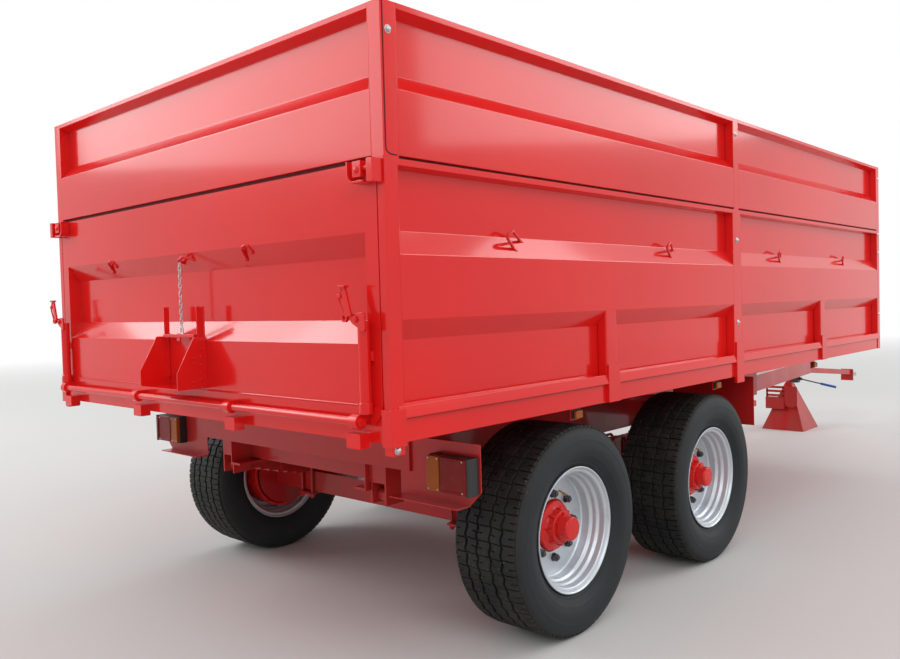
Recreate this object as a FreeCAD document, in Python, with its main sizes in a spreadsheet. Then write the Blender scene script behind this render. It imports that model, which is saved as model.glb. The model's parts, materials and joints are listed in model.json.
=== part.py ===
"""Tandem-axle tipping trailer with demountable grain sides, top-hung tailgate and grain hatch.

Frame: +X forward to the drawbar, +Y left, +Z up, floor at Z = 0, origin under the middle of
the overall length.  Lengths in the sheet are measured from the rear face of the load body.
"""
import FreeCAD, Part
import os
import re

import Sketcher

Vector = FreeCAD.Vector
Rotation = FreeCAD.Rotation

# --------------------------------------------------------------------------------------
# Driving dimensions, millimetres.  "_x" is a distance ahead of the body's rear face,
# "_y" a distance from the centre line, "_z" a height above the floor.
# --------------------------------------------------------------------------------------
SIZES = {
    # load body
    "body_width": 2600, "body_length": 5520, "frame_bottom_z": 1020, "floor_top_z": 1108,
    "floor_thick": 5, "rail_inset": 5, "rail_deep": 60, "rail_wall": 6,
    "sheet": 4, "slope_shift": 2, "recess": 48, "return_deep": 44,
    "lower_top_z": 1980, "upper_bottom_z": 1990, "upper_top_z": 2500,
    # profile of the lower side panels
    "ledge_z": 1136, "ledge_back_z": 1146, "low_recess_top_z": 1367,
    "flush_bottom_z": 1437, "flush_top_z": 1659, "high_recess_bottom_z": 1742,
    "high_recess_top_z": 1951, "top_rail_under_z": 1958,
    # profile of the extension boards
    "upper_flush_top_z": 2213, "upper_recess_bottom_z": 2271, "upper_recess_top_z": 2462,
    "upper_rail_under_z": 2480,
    # posts, ribs and stake pockets
    "corner_x": 60, "corner_y": 36, "corner_foot_z": 980, "middle_x": 2754, "middle_wide": 100,
    "upper_corner_x": 70, "upper_corner_y": 60, "upper_middle_wide": 62,
    "rib_rear_x": 1385, "rib_front_inset": 1355, "rib_wide": 92,
    "pocket_wide": 96, "pocket_proud": 12, "pocket_top_z": 1190, "pocket_foot_z": 985,
    "middle_pocket_top_z": 1220, "corner_pocket_top_z": 1138, "corner_pocket_bottom_z": 1010,
    # floor frame
    "runner_y": 500, "runner_wide": 80, "runner_rear_x": 740, "runner_inset": 120,
    "rest_gap": 0.3, "bearer_wide": 60, "bearer_inset": 420, "bearer_first_x": 900,
    "bearer_wall": 5,
    # chassis
    "rail_y": 500, "rail_wide": 80, "chassis_bottom_z": 660, "chassis_top_z": 840,
    "chassis_rear_x": 540, "chassis_front_x": 4850, "web": 8, "flange": 12,
    "cross_wide": 70, "cross_bottom_z": 680, "cross_top_z": 800, "cross_wall": 6,
    "cross_rear_x": 700, "cross_second_x": 1830, "cross_ram_rear_x": 2450,
    "cross_ram_front_x": 3100, "cross_front_x": 3900,
    "board_x": 528, "board_thick": 12, "board_half": 836, "board_bottom_z": 787,
    "board_top_z": 935,
    # drawbar
    "leg_rear_x": 4000, "leg_knee_x": 4700, "leg_front_x": 7050, "leg_nose_x": 6800,
    "leg_wide": 70, "leg_bottom_z": 650, "leg_top_z": 790, "leg_front_y": 220,
    "pole_half": 50, "pole_rear_top_z": 708, "pole_rear_bottom_z": 650,
    "pole_front_top_z": 531, "pole_front_bottom_z": 473, "hitch_x": 8900, "hitch_z": 470,
    "hitch_plate": 20, "hitch_half": 70, "eye_plate": 18, "eye_plate_half": 60,
    "eye_shank": 110, "eye_shank_radius": 30, "eye_bore": 25.5, "eye_radius": 62,
    "eye_tall": 42,
    # parking stand
    "stand_x": 7380, "stand_y": 135, "foot_half": 225, "foot_top_half": 34,
    "foot_top_z": 505, "foot_wall": 6, "leg_tube": 60,
    "leg_tube_top_z": 905, "sleeve_wall": 8, "sleeve_gap": 0.4, "sleeve_bottom_z": 668,
    "sleeve_top_z": 850, "sleeve_plate": 12,
    # wheels
    "wheel_rear_x": 1157, "wheel_front_x": 2503, "wheel_y": 1092, "wheel_z": 468,
    "tyre_width": 362, "tyre_shoulder": 26, "tyre_shoulder_in": 6, "tyre_tread_width": 316,
    "tyre_wall_radius": 372,
    "bead_radius": 262, "bead_half": 136, "rim_half": 150, "rim_flange_radius": 281,
    "rim_flange_thick": 12, "rim_well_radius": 236, "rim_wall": 9, "rim_well_out": 62,
    "rim_seat": 34, "disc_out": 6, "disc_thick": 14, "disc_bore": 120,
    "hub_flange_radius": 190, "hub_flange_thick": 16, "hub_boss_radius": 119,
    "hub_boss_out": 44, "hub_neck_radius": 78, "hub_neck_out": 72, "hub_cap_radius": 56,
    "hub_cap_out": 124, "drum_radius": 205, "drum_wall": 14, "drum_width": 150,
    "hub_barrel_radius": 90, "spindle_radius": 45, "spindle_gap": 0.1, "spindle_out": 40,
    "axle_size": 118, "plate_radius": 186, "plate_thick": 8,
    "plate_gap": 6,
    # springs
    "spring_y": 600, "spring_wide": 70, "spring_half": 540, "spring_top_z": 622,
    "spring_seat_half": 120, "spring_leaf": 12, "eye_z": 640, "spring_eye_radius": 28,
    "hanger_plate": 10, "hanger_half": 55, "hanger_gap": 5, "hanger_top_z": 800,
    "hanger_block_z": 700, "hanger_bottom_z": 605, "hanger_pin_radius": 14,
    "rocker_wide": 50, "rocker_over": 40, "rocker_z": 700, "rocker_end": 22,
    # tipping pivot
    "tip_x": 660, "tip_z": 900, "tip_pin_radius": 20, "tip_lug_radius": 45, "tip_lug_wide": 60,
    "tip_plate": 10, "tip_plate_rear_x": 595, "tip_plate_front_x": 712,
    "tip_plate_bottom_z": 800, "tip_plate_top_z": 945, "pin_gap": 0.1, "pin_over": 14,
    # tipping ram
    "ram_top_x": 2800, "ram_top_z": 930, "ram_base_x": 2759, "ram_base_z": 450,
    "barrel_radius": 95, "tube_wall": 7, "tube_step": 14, "barrel_low": 190,
    "barrel_high": 360, "barrel_floor": 12, "gland": 30, "gland_gap": 0.4, "stage_low": 170,
    "stage_show": 12, "trunnion_radius": 28, "cradle_y": 152, "cradle_plate": 12,
    "cradle_bottom_z": 400, "cradle_top_z": 780, "cradle_half": 64,
    "head_half": 20, "head_radius": 36, "head_pin_radius": 16, "head_pin_half": 58,
    "head_ear_y": 30, "head_ear_wide": 20, "head_ear_radius": 62, "head_hole": 42,
    "head_beam_wide": 90, "head_beam_tall": 45,
    # light boards and mud plates
    "light_x": 540, "light_inner_y": 770, "light_outer_y": 1220, "light_bottom_z": 680,
    "light_top_z": 935, "plate": 5, "light_chamfer": 65, "light_lip": 70,
    "lamp_inner_y": 983, "lamp_long": 229, "lamp_bottom_z": 735, "lamp_tall": 150,
    "lamp_deep": 68, "arm": 35, "light_arm_z": 800,
    "mud_x": 3100, "mud_inner_y": 700, "mud_outer_y": 1240, "mud_bottom_z": 685,
    "mud_top_z": 985,
    # tailgate
    "gate_gap": 5, "gate_bottom_z": 1118, "gate_top_z": 1974, "gate_bar": 60,
    "gate_bar_deep": 48, "gate_recess": 56, "gate_recess_top_z": 1737,
    "gate_recess_in_z": 1658, "gate_recess_out_z": 1437, "gate_recess_bottom_z": 1357,
    "gate_pivot_z": 1948, "gate_pivot_out": 26, "gate_lug_inset": 110, "gate_lug_wide": 42,
    "gate_lug_out": 45, "gate_lug_low": 30, "gate_lug_high": 24, "gate_pin_radius": 11,
    "ear_inset": 36, "ear_wide": 28, "ear_out": 48, "ear_low": 51, "ear_high": 27,
    "lock_rod_radius": 15, "lock_rod_out": 42, "lock_rod_z": 1095, "lock_rod_inset": 95,
    "lock_inner_y": 390, "lock_outer_inset": 125, "ring_radius": 26, "ring_wide": 40,
    "block_wide": 72, "block_out": 46, "block_top_z": 1052, "block_bottom_z": 1000,
    "block_inset": 20,
    "skirt_thick": 4, "skirt_bottom_z": 1080, "skirt_top_z": 1146, "skirt_corner": 40,
    "gate_rest": 2,
    "lever_inset": 100, "lever_radius": 17, "lever_top_z": 1412, "lever_out": 22,
    "lever_clamp": 36, "lever_clamp_low_z": 1178, "lever_clamp_high_z": 1352,
    "lever_head_tall": 56, "lever_head_thick": 24, "handle_radius": 9, "handle_long": 105,
    "handle_lean": 20,
    # grain hatch
    "chute_half": 155, "chute_wall": 6, "chute_top_out": 58, "chute_out": 140,
    "chute_top_z": 1375, "chute_knee_z": 1225, "chute_bottom_z": 1155,
    "slide_half": 142, "slide_thick": 5, "slide_gap": 0.8, "slide_bottom_z": 1192,
    "slide_top_z": 1385, "slide_lip": 30, "guide_lap": 7, "guide_wide": 30, "guide_thick": 5,
    "guide_stand": 23, "guide_top_z": 1505, "hole_half": 120, "hole_bottom_z": 1200,
    "hole_top_z": 1345, "chain_top_z": 1700, "chain_wire": 4,
}

doc = FreeCAD.newDocument("tipping_trailer")
sheet = doc.addObject("Spreadsheet::Sheet", "Sizes")
for row, (alias, size) in enumerate(SIZES.items(), start=1):
    sheet.set("A%d" % row, alias)
    sheet.set("B%d" % row, str(size))
    sheet.setAlias("B%d" % row, alias)
doc.recompute()

# The origin lies under the middle of the overall length.
FRONT_END = "(hitch_x + hitch_plate + eye_plate + eye_shank + eye_radius)"
ORIGIN = "((%s - chute_out) / 2)" % FRONT_END
SIDE = "body_width / 2"
BEARERS = 9
STAGES = 4
WORD = re.compile(r"\b(" + "|".join(sorted(SIZES, key=len, reverse=True)) + r")\b")
TURN = {"x": Rotation(Vector(0, 1, 0), 90), "y": Rotation(Vector(1, 0, 0), -90), "z": Rotation()}
PLANES = {"xz": "XZ_Plane", "yz": "YZ_Plane", "xy": "XY_Plane"}
NODES = []


# --------------------------------------------------------------------------------------
# Helpers: every size and place is an expression in the sheet's words
# --------------------------------------------------------------------------------------
def bind(item, **sizes):
    """Bind properties to size expressions."""
    for name, expression in sizes.items():
        item.setExpression(name, WORD.sub(r"Sizes.\1", str(expression)))


def place(item, x, y, z):
    """Bind an object's place; x is measured ahead of the body's rear face."""
    spots = {"x": "%s - %s" % (x, ORIGIN), "y": y, "z": z}
    for axis, spot in spots.items():
        bind(item, **{"Placement.Base." + axis: spot})
    return item


def minus(high, low):
    """The length between two places."""
    return "(%s) - (%s)" % (high, low)


def box(name, x, y, z):
    """A block; each of x, y and z is a (low, high) span."""
    item = doc.addObject("Part::Box", name)
    bind(item, Length=minus(x[1], x[0]), Width=minus(y[1], y[0]), Height=minus(z[1], z[0]))
    return place(item, x[0], y[0], z[0])


def cylinder(name, axis, x, y, z, radius):
    """A round bar; the axis's own entry is a (low, high) span, the others are its centre."""
    spots = {"x": x, "y": y, "z": z}
    low, high = spots[axis]
    spots[axis] = low
    item = doc.addObject("Part::Cylinder", name)
    item.Placement = FreeCAD.Placement(Vector(), TURN[axis])
    bind(item, Radius=radius, Height=minus(high, low))
    return place(item, spots["x"], spots["y"], spots["z"])


def fuse(name, *parts):
    """One solid from parts that touch or overlap."""
    item = doc.addObject("Part::MultiFuse", name)
    item.Shapes = list(parts)
    item.Refine = True
    return item


def cut(name, base, *tools):
    """The base with the tools taken away."""
    tool = tools[0] if len(tools) == 1 else group(name + "_tools", *tools)
    item = doc.addObject("Part::Cut", name)
    item.Base = base
    item.Tool = tool
    item.Refine = True
    return item


def group(name, *parts):
    """Separate solids that share one name."""
    item = doc.addObject("Part::Compound", name)
    item.Links = list(parts)
    return item


def mirrored(part):
    """The same piece on the other side of the centre line."""
    item = doc.addObject("Part::Mirroring", part.Name + "_right")
    item.Source = part
    item.Normal = Vector(0, 1, 0)
    return item


def both(name, *parts):
    """Left pieces together with their right-hand twins."""
    return group(name, *parts, *[mirrored(part) for part in parts])


def hollow(name, axis, x, y, z, wall):
    """A rectangular tube, open at both ends of its axis."""
    spans = {"x": x, "y": y, "z": z}
    inner = {key: ("%s + %s" % (low, wall), "%s - %s" % (high, wall))
             for key, (low, high) in spans.items() if key != axis}
    inner[axis] = spans[axis]
    outer = box(name + "_outer", x, y, z)
    return cut(name, outer, box(name + "_bore", inner["x"], inner["y"], inner["z"]))


def outline(body, plane, points):
    """A closed sketch through points whose places are bound to the sheet."""
    sketch = body.newObject("Sketcher::SketchObject", body.Name + "_sketch")
    origin = [item for item in body.Origin.OriginFeatures if item.Role == plane][0]
    sketch.AttachmentSupport = (origin, [""])
    sketch.MapMode = "FlatFace"
    count = len(points)
    start = [Vector(100 * row, 90 * row * row, 0) for row in range(count)]
    for row in range(count):
        sketch.addGeometry(Part.LineSegment(start[row], start[(row + 1) % count]), False)
    for row in range(count):
        sketch.addConstraint(Sketcher.Constraint("Coincident", row, 2, (row + 1) % count, 1))
    for row, spots in enumerate(points):
        for kind, spot in zip(("DistanceX", "DistanceY"), spots):
            number = sketch.addConstraint(Sketcher.Constraint(kind, -1, 1, row, 1, 1.0))
            bind(sketch, **{"Constraints[%d]" % number: spot})
    return sketch


def slab(name, plane, points, span):
    """A plate or bar: an outline in one plane, as thick as its (low, high) span."""
    body = doc.addObject("PartDesign::Body", name)
    pad = body.newObject("PartDesign::Pad", name + "_pad")
    pad.Profile = outline(body, PLANES[plane], points)
    bind(pad, Length=minus(span[1], span[0]))
    if plane == "yz":
        return place(body, span[0], "0", "0")
    if plane == "xz":
        return place(body, "0", span[1], "0")
    return place(body, "0", "0", span[0])


def turned(name, points, x, y, z):
    """A round piece about the Y axis: points are (radius, distance along the axle)."""
    body = doc.addObject("PartDesign::Body", name)
    turn = body.newObject("PartDesign::Revolution", name + "_turn")
    sketch = outline(body, "XY_Plane", points)
    turn.Profile = sketch
    turn.ReferenceAxis = (sketch, ["V_Axis"])
    turn.Angle = 360
    return place(body, x, y, z)


def node(label, item):
    """Give a finished piece the name that it is kept under."""
    item.Label = label
    NODES.append(item)


def shifted(points, edge, sign):
    """An outline whose first entry is a depth, laid inward from an edge."""
    return [("%s %s (%s)" % (edge, sign, depth), height) for depth, height in points]


# --------------------------------------------------------------------------------------
# Load body
# --------------------------------------------------------------------------------------
DEEP = "recess + sheet"
LOWER_PROFILE = [
    ("0", "lower_top_z"), ("0", "top_rail_under_z"), ("recess", "high_recess_top_z"),
    ("recess", "high_recess_bottom_z"), ("0", "flush_top_z"), ("0", "flush_bottom_z"),
    ("recess", "low_recess_top_z"), ("recess", "ledge_back_z"), ("0", "ledge_z"),
    ("0", "floor_top_z"), ("return_deep", "floor_top_z"),
    ("return_deep", "floor_top_z + sheet"), ("sheet", "floor_top_z + sheet"),
    ("sheet", "ledge_z - sheet"), (DEEP, "ledge_back_z - sheet"),
    (DEEP, "low_recess_top_z + slope_shift"), ("sheet", "flush_bottom_z + slope_shift"),
    ("sheet", "flush_top_z - slope_shift"), (DEEP, "high_recess_bottom_z - slope_shift"),
    (DEEP, "lower_top_z"),
]
UPPER_PROFILE = [
    ("0", "upper_top_z"), ("0", "upper_rail_under_z"), ("recess", "upper_recess_top_z"),
    ("recess", "upper_recess_bottom_z"), ("0", "upper_flush_top_z"), ("0", "upper_bottom_z"),
    ("return_deep", "upper_bottom_z"), ("return_deep", "upper_bottom_z + sheet"),
    ("sheet", "upper_bottom_z + sheet"), ("sheet", "upper_flush_top_z - slope_shift"),
    (DEEP, "upper_recess_bottom_z - slope_shift"), (DEEP, "upper_top_z"),
]
LOCKS = ("lock_inner_y", "(%s - lock_outer_inset)" % SIDE)
LOWER_SPAN = ("floor_top_z", "lower_top_z")
UPPER_SPAN = ("upper_bottom_z", "upper_top_z")


def side_panel(name, profile, height, x):
    """A pressed side panel on the left, with a folded plate at each end."""
    skin = slab(name + "_skin", "yz", shifted(profile, SIDE, "-"), x)
    depth = ("%s - %s" % (SIDE, DEEP), SIDE)
    rear = box(name + "_rear_end", (x[0], x[0] + " + sheet"), depth, height)
    front = box(name + "_front_end", (x[1] + " - sheet", x[1]), depth, height)
    return fuse(name, skin, rear, front)


def end_panel(name, profile, height, edge, sign, half):
    """A pressed panel across the body, with a folded plate at each end."""
    skin = slab(name + "_skin", "xz", shifted(profile, edge, sign), ("-(%s)" % half, half))
    ends = [edge, "%s %s (%s)" % (edge, sign, DEEP)]
    depth = tuple(ends if sign == "+" else reversed(ends))
    left = box(name + "_left_end", depth, ("%s - sheet" % half, half), height)
    right = box(name + "_right_end", depth, ("-(%s)" % half, "-(%s) + sheet" % half), height)
    return fuse(name, skin, left, right)


def side_pair(name, profile, height, corner, middle_wide):
    """The rear and the front panel of one side, left then right."""
    rear = (corner, "middle_x - %s / 2" % middle_wide)
    front = ("middle_x + %s / 2" % middle_wide, "body_length - " + corner)
    panels = [side_panel(name + "_rear_side", profile, height, rear),
              side_panel(name + "_front_side", profile, height, front)]
    node(name + "_left", group(name + "_left", *panels))
    node(name + "_right", group(name + "_right", *[mirrored(panel) for panel in panels]))


def panels():
    side_pair("side_panels", LOWER_PROFILE, LOWER_SPAN, "corner_x", "middle_wide")
    side_pair("extension", UPPER_PROFILE, UPPER_SPAN, "upper_corner_x", "upper_middle_wide")
    half = "(%s - recess - sheet)" % SIDE
    node("headboard", end_panel("headboard", LOWER_PROFILE, LOWER_SPAN, "body_length", "-", half))
    half = "(%s - upper_corner_y)" % SIDE
    node("extension_rear", end_panel("extension_rear", UPPER_PROFILE, UPPER_SPAN, "0", "+", half))
    node("extension_front",
         end_panel("extension_front", UPPER_PROFILE, UPPER_SPAN, "body_length", "-", half))


def posts():
    inner = "%s - recess - sheet" % SIDE
    rear = box("rear_post", ("0", "corner_x"), (SIDE + " - corner_y", SIDE),
               ("corner_foot_z", "lower_top_z"))
    front = box("front_post", ("body_length - corner_x", "body_length"), (inner, SIDE),
                ("frame_bottom_z", "lower_top_z"))
    middle = box("middle_post", ("middle_x - middle_wide / 2", "middle_x + middle_wide / 2"),
                 (inner, SIDE), ("floor_top_z", "lower_top_z"))
    node("lower_posts", both("lower_posts", rear, front, middle))
    height = ("lower_top_z", "upper_top_z")
    width = (SIDE + " - upper_corner_y", SIDE)
    rear = box("upper_rear_post", ("0", "upper_corner_x"), width, height)
    front = box("upper_front_post", ("body_length - upper_corner_x", "body_length"), width, height)
    middle = box("upper_middle_post",
                 ("middle_x - upper_middle_wide / 2", "middle_x + upper_middle_wide / 2"),
                 (inner, SIDE), height)
    node("extension_posts", both("extension_posts", rear, front, middle))


def ribs_and_pockets():
    ribs = []
    pockets = []
    recess = [("0", "flush_bottom_z"), ("recess", "low_recess_top_z"),
              ("recess", "ledge_back_z"), ("0", "ledge_z")]
    middles = {"rib_rear": "rib_rear_x", "rib_front": "(body_length - rib_front_inset)"}
    for name, middle in middles.items():
        span = (middle + " - rib_wide / 2", middle + " + rib_wide / 2")
        ribs.append(slab(name, "yz", shifted(recess, SIDE, "-"), span))
        pockets.append(pocket(name + "_pocket", middle, "frame_bottom_z", "pocket_top_z"))
    node("side_ribs", both("side_ribs", *ribs))
    pockets.append(pocket("middle_pocket", "middle_x", "pocket_foot_z", "middle_pocket_top_z"))
    out = "(%s + pocket_proud)" % SIDE
    inner = SIDE + " - corner_y"
    wrap = [("-pocket_proud", inner), ("-pocket_proud", out), ("corner_x", out),
            ("corner_x", SIDE), ("0", SIDE), ("0", inner)]
    height = ("corner_pocket_bottom_z", "corner_pocket_top_z")
    pockets.append(slab("corner_pocket", "xy", wrap, height))
    node("stake_pockets", both("stake_pockets", *pockets))


def pocket(name, middle, low, high):
    """A stake pocket: a strap over the floor rail and the foot of a post or rib."""
    out = "(%s + pocket_proud)" % SIDE
    rail = "%s - rail_inset" % SIDE
    strap = [(rail, low), (out, low), (out, high), (SIDE, high), (SIDE, "floor_top_z"),
             (rail, "floor_top_z")]
    return slab(name, "yz", strap, (middle + " - pocket_wide / 2", middle + " + pocket_wide / 2"))


def floor():
    outer = "%s - rail_inset" % SIDE
    inner = "%s - rail_inset - rail_deep" % SIDE
    height = ("frame_bottom_z", "floor_top_z")
    side = hollow("side_floor_rail", "x", ("corner_x", "body_length - corner_x"),
                  (inner, outer), height, "rail_wall")
    node("side_floor_rails", both("side_floor_rails", side))

    half = "(%s - corner_y)" % SIDE
    rear = hollow("rear_floor_rail", "y", ("gate_rest", "corner_x"), ("-" + half, half), height,
                  "rail_wall")
    blocks = []
    for middle in (LOCKS[0], LOCKS[1] + " - block_inset"):
        left = box("rear_block", ("-block_out", "gate_rest"),
                   (middle + " - block_wide / 2", middle + " + block_wide / 2"),
                   ("block_bottom_z", "block_top_z"))
        blocks += [left, mirrored(left)]
    rear = fuse("rear_floor_rail_blocks", rear, *blocks)
    half = "(%s - recess - sheet)" % SIDE
    front = hollow("front_floor_rail", "y", ("body_length - corner_x", "body_length"),
                   ("-" + half, half), height, "rail_wall")
    node("end_floor_rails", group("end_floor_rails", rear, front))

    floor_under_z = "floor_top_z - floor_thick"
    node("floor_plate", box("floor_plate", ("corner_x", "body_length - corner_x"),
                            ("-(%s)" % inner, inner), (floor_under_z, "floor_top_z")))

    under = ("frame_bottom_z", floor_under_z)
    pitch = "(body_length - bearer_inset - bearer_first_x) / %d" % (BEARERS - 2)
    middles = ["tip_x"] + ["bearer_first_x + %d * %s" % (step, pitch) for step in range(BEARERS - 1)]
    bearers = [hollow("bearer", "y", (middle + " - bearer_wide / 2", middle + " + bearer_wide / 2"),
                      ("-(%s)" % inner, inner), under, "bearer_wall") for middle in middles]
    node("floor_bearers", group("floor_bearers", *bearers))

    runner = hollow("body_runner", "x", ("runner_rear_x", "body_length - runner_inset"),
                    ("runner_y - runner_wide / 2", "runner_y + runner_wide / 2"),
                    ("chassis_top_z + rest_gap", "frame_bottom_z"), "bearer_wall")
    node("body_runners", both("body_runners", runner))


def tip_lugs():
    """Eyes under the rear bearer that turn on the chassis pivot pins."""
    span = ("rail_y - tip_lug_wide / 2", "rail_y + tip_lug_wide / 2")
    eye = cylinder("tip_eye", "y", "tip_x", span, "tip_z", "tip_lug_radius")
    stem = box("tip_stem", ("tip_x - bearer_wide / 2", "tip_x + bearer_wide / 2"), span,
               ("tip_z", "frame_bottom_z"))
    bore = cylinder("tip_bore", "y", "tip_x", span, "tip_z", "tip_pin_radius + pin_gap")
    node("tip_lugs", both("tip_lugs", cut("tip_lug", fuse("tip_lug_blank", eye, stem), bore)))


def ram_bracket():
    """A beam between the runners with two ears; their wide holes are the linkage's open pivot."""
    half = "(runner_y - runner_wide / 2)"
    low = "frame_bottom_z - head_beam_tall"
    beam = box("ram_beam", ("ram_top_x - head_beam_wide / 2", "ram_top_x + head_beam_wide / 2"),
               ("-" + half, half), (low, "frame_bottom_z"))
    ears = []
    for side, near in (("left", "head_ear_y"), ("right", "-head_ear_y - head_ear_wide")):
        span = (near, near + " + head_ear_wide")
        disc = cylinder("ram_ear_" + side, "y", "ram_top_x", span, "ram_top_z", "head_ear_radius")
        stem = box("ram_stem_" + side,
                   ("ram_top_x - head_beam_wide / 2", "ram_top_x + head_beam_wide / 2"), span,
                   ("ram_top_z", "frame_bottom_z"))
        hole = cylinder("ram_hole_" + side, "y", "ram_top_x", span, "ram_top_z", "head_hole")
        ears.append(cut("ram_ear_cut_" + side, fuse("ram_ear_blank_" + side, disc, stem), hole))
    relief = cylinder("ram_relief", "y", "ram_top_x",
                      ("-head_ear_y", "head_ear_y"), "ram_top_z", "head_ear_radius")
    node("ram_bracket", fuse("ram_bracket", cut("ram_beam_cut", beam, relief), *ears))


# --------------------------------------------------------------------------------------
# Tailgate and grain hatch
# --------------------------------------------------------------------------------------
GATE_HALF = "(%s - corner_y - gate_gap)" % SIDE
GATE_PROFILE = [
    ("0", "gate_top_z"), ("0", "gate_recess_top_z"), ("gate_recess", "gate_recess_in_z"),
    ("gate_recess", "gate_recess_out_z"), ("0", "gate_recess_bottom_z"), ("0", "gate_bottom_z"),
    ("gate_bar_deep", "gate_bottom_z"), ("gate_bar_deep", "gate_bottom_z + sheet"),
    ("sheet", "gate_bottom_z + sheet"), ("sheet", "gate_recess_bottom_z - slope_shift"),
    ("gate_recess + sheet", "gate_recess_out_z - slope_shift"),
    ("gate_recess + sheet", "gate_recess_in_z + slope_shift"),
    ("sheet", "gate_recess_top_z + slope_shift"), ("sheet", "gate_top_z - sheet"),
    ("gate_bar_deep", "gate_top_z - sheet"), ("gate_bar_deep", "gate_top_z"),
]


def tailgate():
    inner = "(%s - gate_bar)" % GATE_HALF
    pan = slab("gate_pan", "xz", GATE_PROFILE, ("-" + inner, inner))
    bar = hollow("gate_bar", "z", ("0", "gate_bar_deep"), (inner, GATE_HALF),
                 ("gate_bottom_z", "gate_top_z"), "sheet")
    wall = box("gate_wall", ("0", "gate_recess + sheet"), (inner + " - sheet", inner),
               ("gate_recess_bottom_z", "gate_recess_top_z"))
    hole = box("gate_hole", ("-sheet", "2 * sheet"), ("-hole_half", "hole_half"),
               ("hole_bottom_z", "hole_top_z"))
    skirt = slab("gate_skirt", "yz",
                 [("-" + GATE_HALF, "skirt_top_z"), ("-" + GATE_HALF, "skirt_bottom_z + skirt_corner"),
                  ("-%s + skirt_corner" % GATE_HALF, "skirt_bottom_z"),
                  (GATE_HALF + " - skirt_corner", "skirt_bottom_z"),
                  (GATE_HALF, "skirt_bottom_z + skirt_corner"), (GATE_HALF, "skirt_top_z")],
                 ("-skirt_thick", "0"))
    blank = fuse("gate_blank", pan, skirt, bar, mirrored(bar), wall, mirrored(wall))
    node("tailgate", cut("tailgate", blank, hole))


def gate_hinge():
    """Lugs on the gate turn on pins that stand in from block ears on the rear posts."""
    near = "(%s - gate_lug_inset)" % SIDE
    span = (near, near + " + gate_lug_wide")
    block = box("gate_lug_block", ("-gate_lug_out", "0"), span,
                ("gate_pivot_z - gate_lug_low", "gate_pivot_z + gate_lug_high"))
    bore = cylinder("gate_lug_bore", "y", "-gate_pivot_out", span, "gate_pivot_z",
                    "gate_pin_radius + pin_gap")
    node("gate_lugs", both("gate_lugs", cut("gate_lug", block, bore)))

    ear = "(%s - ear_inset)" % SIDE
    span = (ear, ear + " + ear_wide")
    block = box("ear_block", ("-ear_out", "0"), span,
                ("gate_pivot_z - ear_low", "gate_pivot_z + ear_high"))
    pin = cylinder("ear_pin", "y", "-gate_pivot_out", (near, ear + " + ear_wide"),
                   "gate_pivot_z", "gate_pin_radius")
    node("gate_ears", both("gate_ears", fuse("gate_ear", block, pin)))


def lock_gear():
    """A cross rod in four rings along the gate's foot, and an upright tube at each side."""
    half = "(%s - lock_rod_inset)" % SIDE
    rod = cylinder("lock_bar", "y", "-lock_rod_out", ("-" + half, half), "lock_rod_z",
                   "lock_rod_radius")
    carriers = []
    for middle in LOCKS:
        span = (middle + " - ring_wide / 2", middle + " + ring_wide / 2")
        ring = cylinder("lock_ring", "y", "-lock_rod_out", span, "lock_rod_z", "ring_radius")
        arm = box("lock_arm", ("-lock_rod_out", "-skirt_thick"), span,
                  ("lock_rod_z", "lock_rod_z + ring_radius"))
        carriers += [ring, arm, mirrored(ring), mirrored(arm)]
    node("lock_rod", fuse("lock_rod", rod, *carriers))

    middle = "(%s - lever_inset)" % SIDE
    tube = cylinder("lever_tube", "z", "-lever_out", middle,
                    ("lock_rod_z + ring_radius", "lever_top_z"), "lever_radius")
    clamps = []
    for low in ("lever_clamp_low_z", "lever_clamp_high_z"):
        clamps.append(box("lever_clamp", ("-lever_out", "0"),
                          (middle + " - lever_clamp / 2", middle + " + lever_clamp / 2"),
                          (low, low + " + lever_clamp")))
    head = box("lever_head", ("-lever_out - lever_radius", "0"),
               (middle + " - lever_head_thick / 2", middle + " + lever_head_thick / 2"),
               ("lever_top_z", "lever_top_z + lever_head_tall"))
    handle = doc.addObject("Part::Cylinder", "lever_handle")
    handle.Placement = FreeCAD.Placement(Vector(), Rotation(Vector(1, 0, 0), 1))
    bind(handle, Radius="handle_radius", Height="handle_long")
    bind(handle, **{"Placement.Rotation.Angle": "handle_lean"})
    place(handle, "-lever_out", middle, "lever_top_z + lever_head_tall / 2")
    lever = fuse("lock_lever", tube, head, handle, *clamps)
    node("lock_levers", both("lock_levers", lever))


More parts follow.
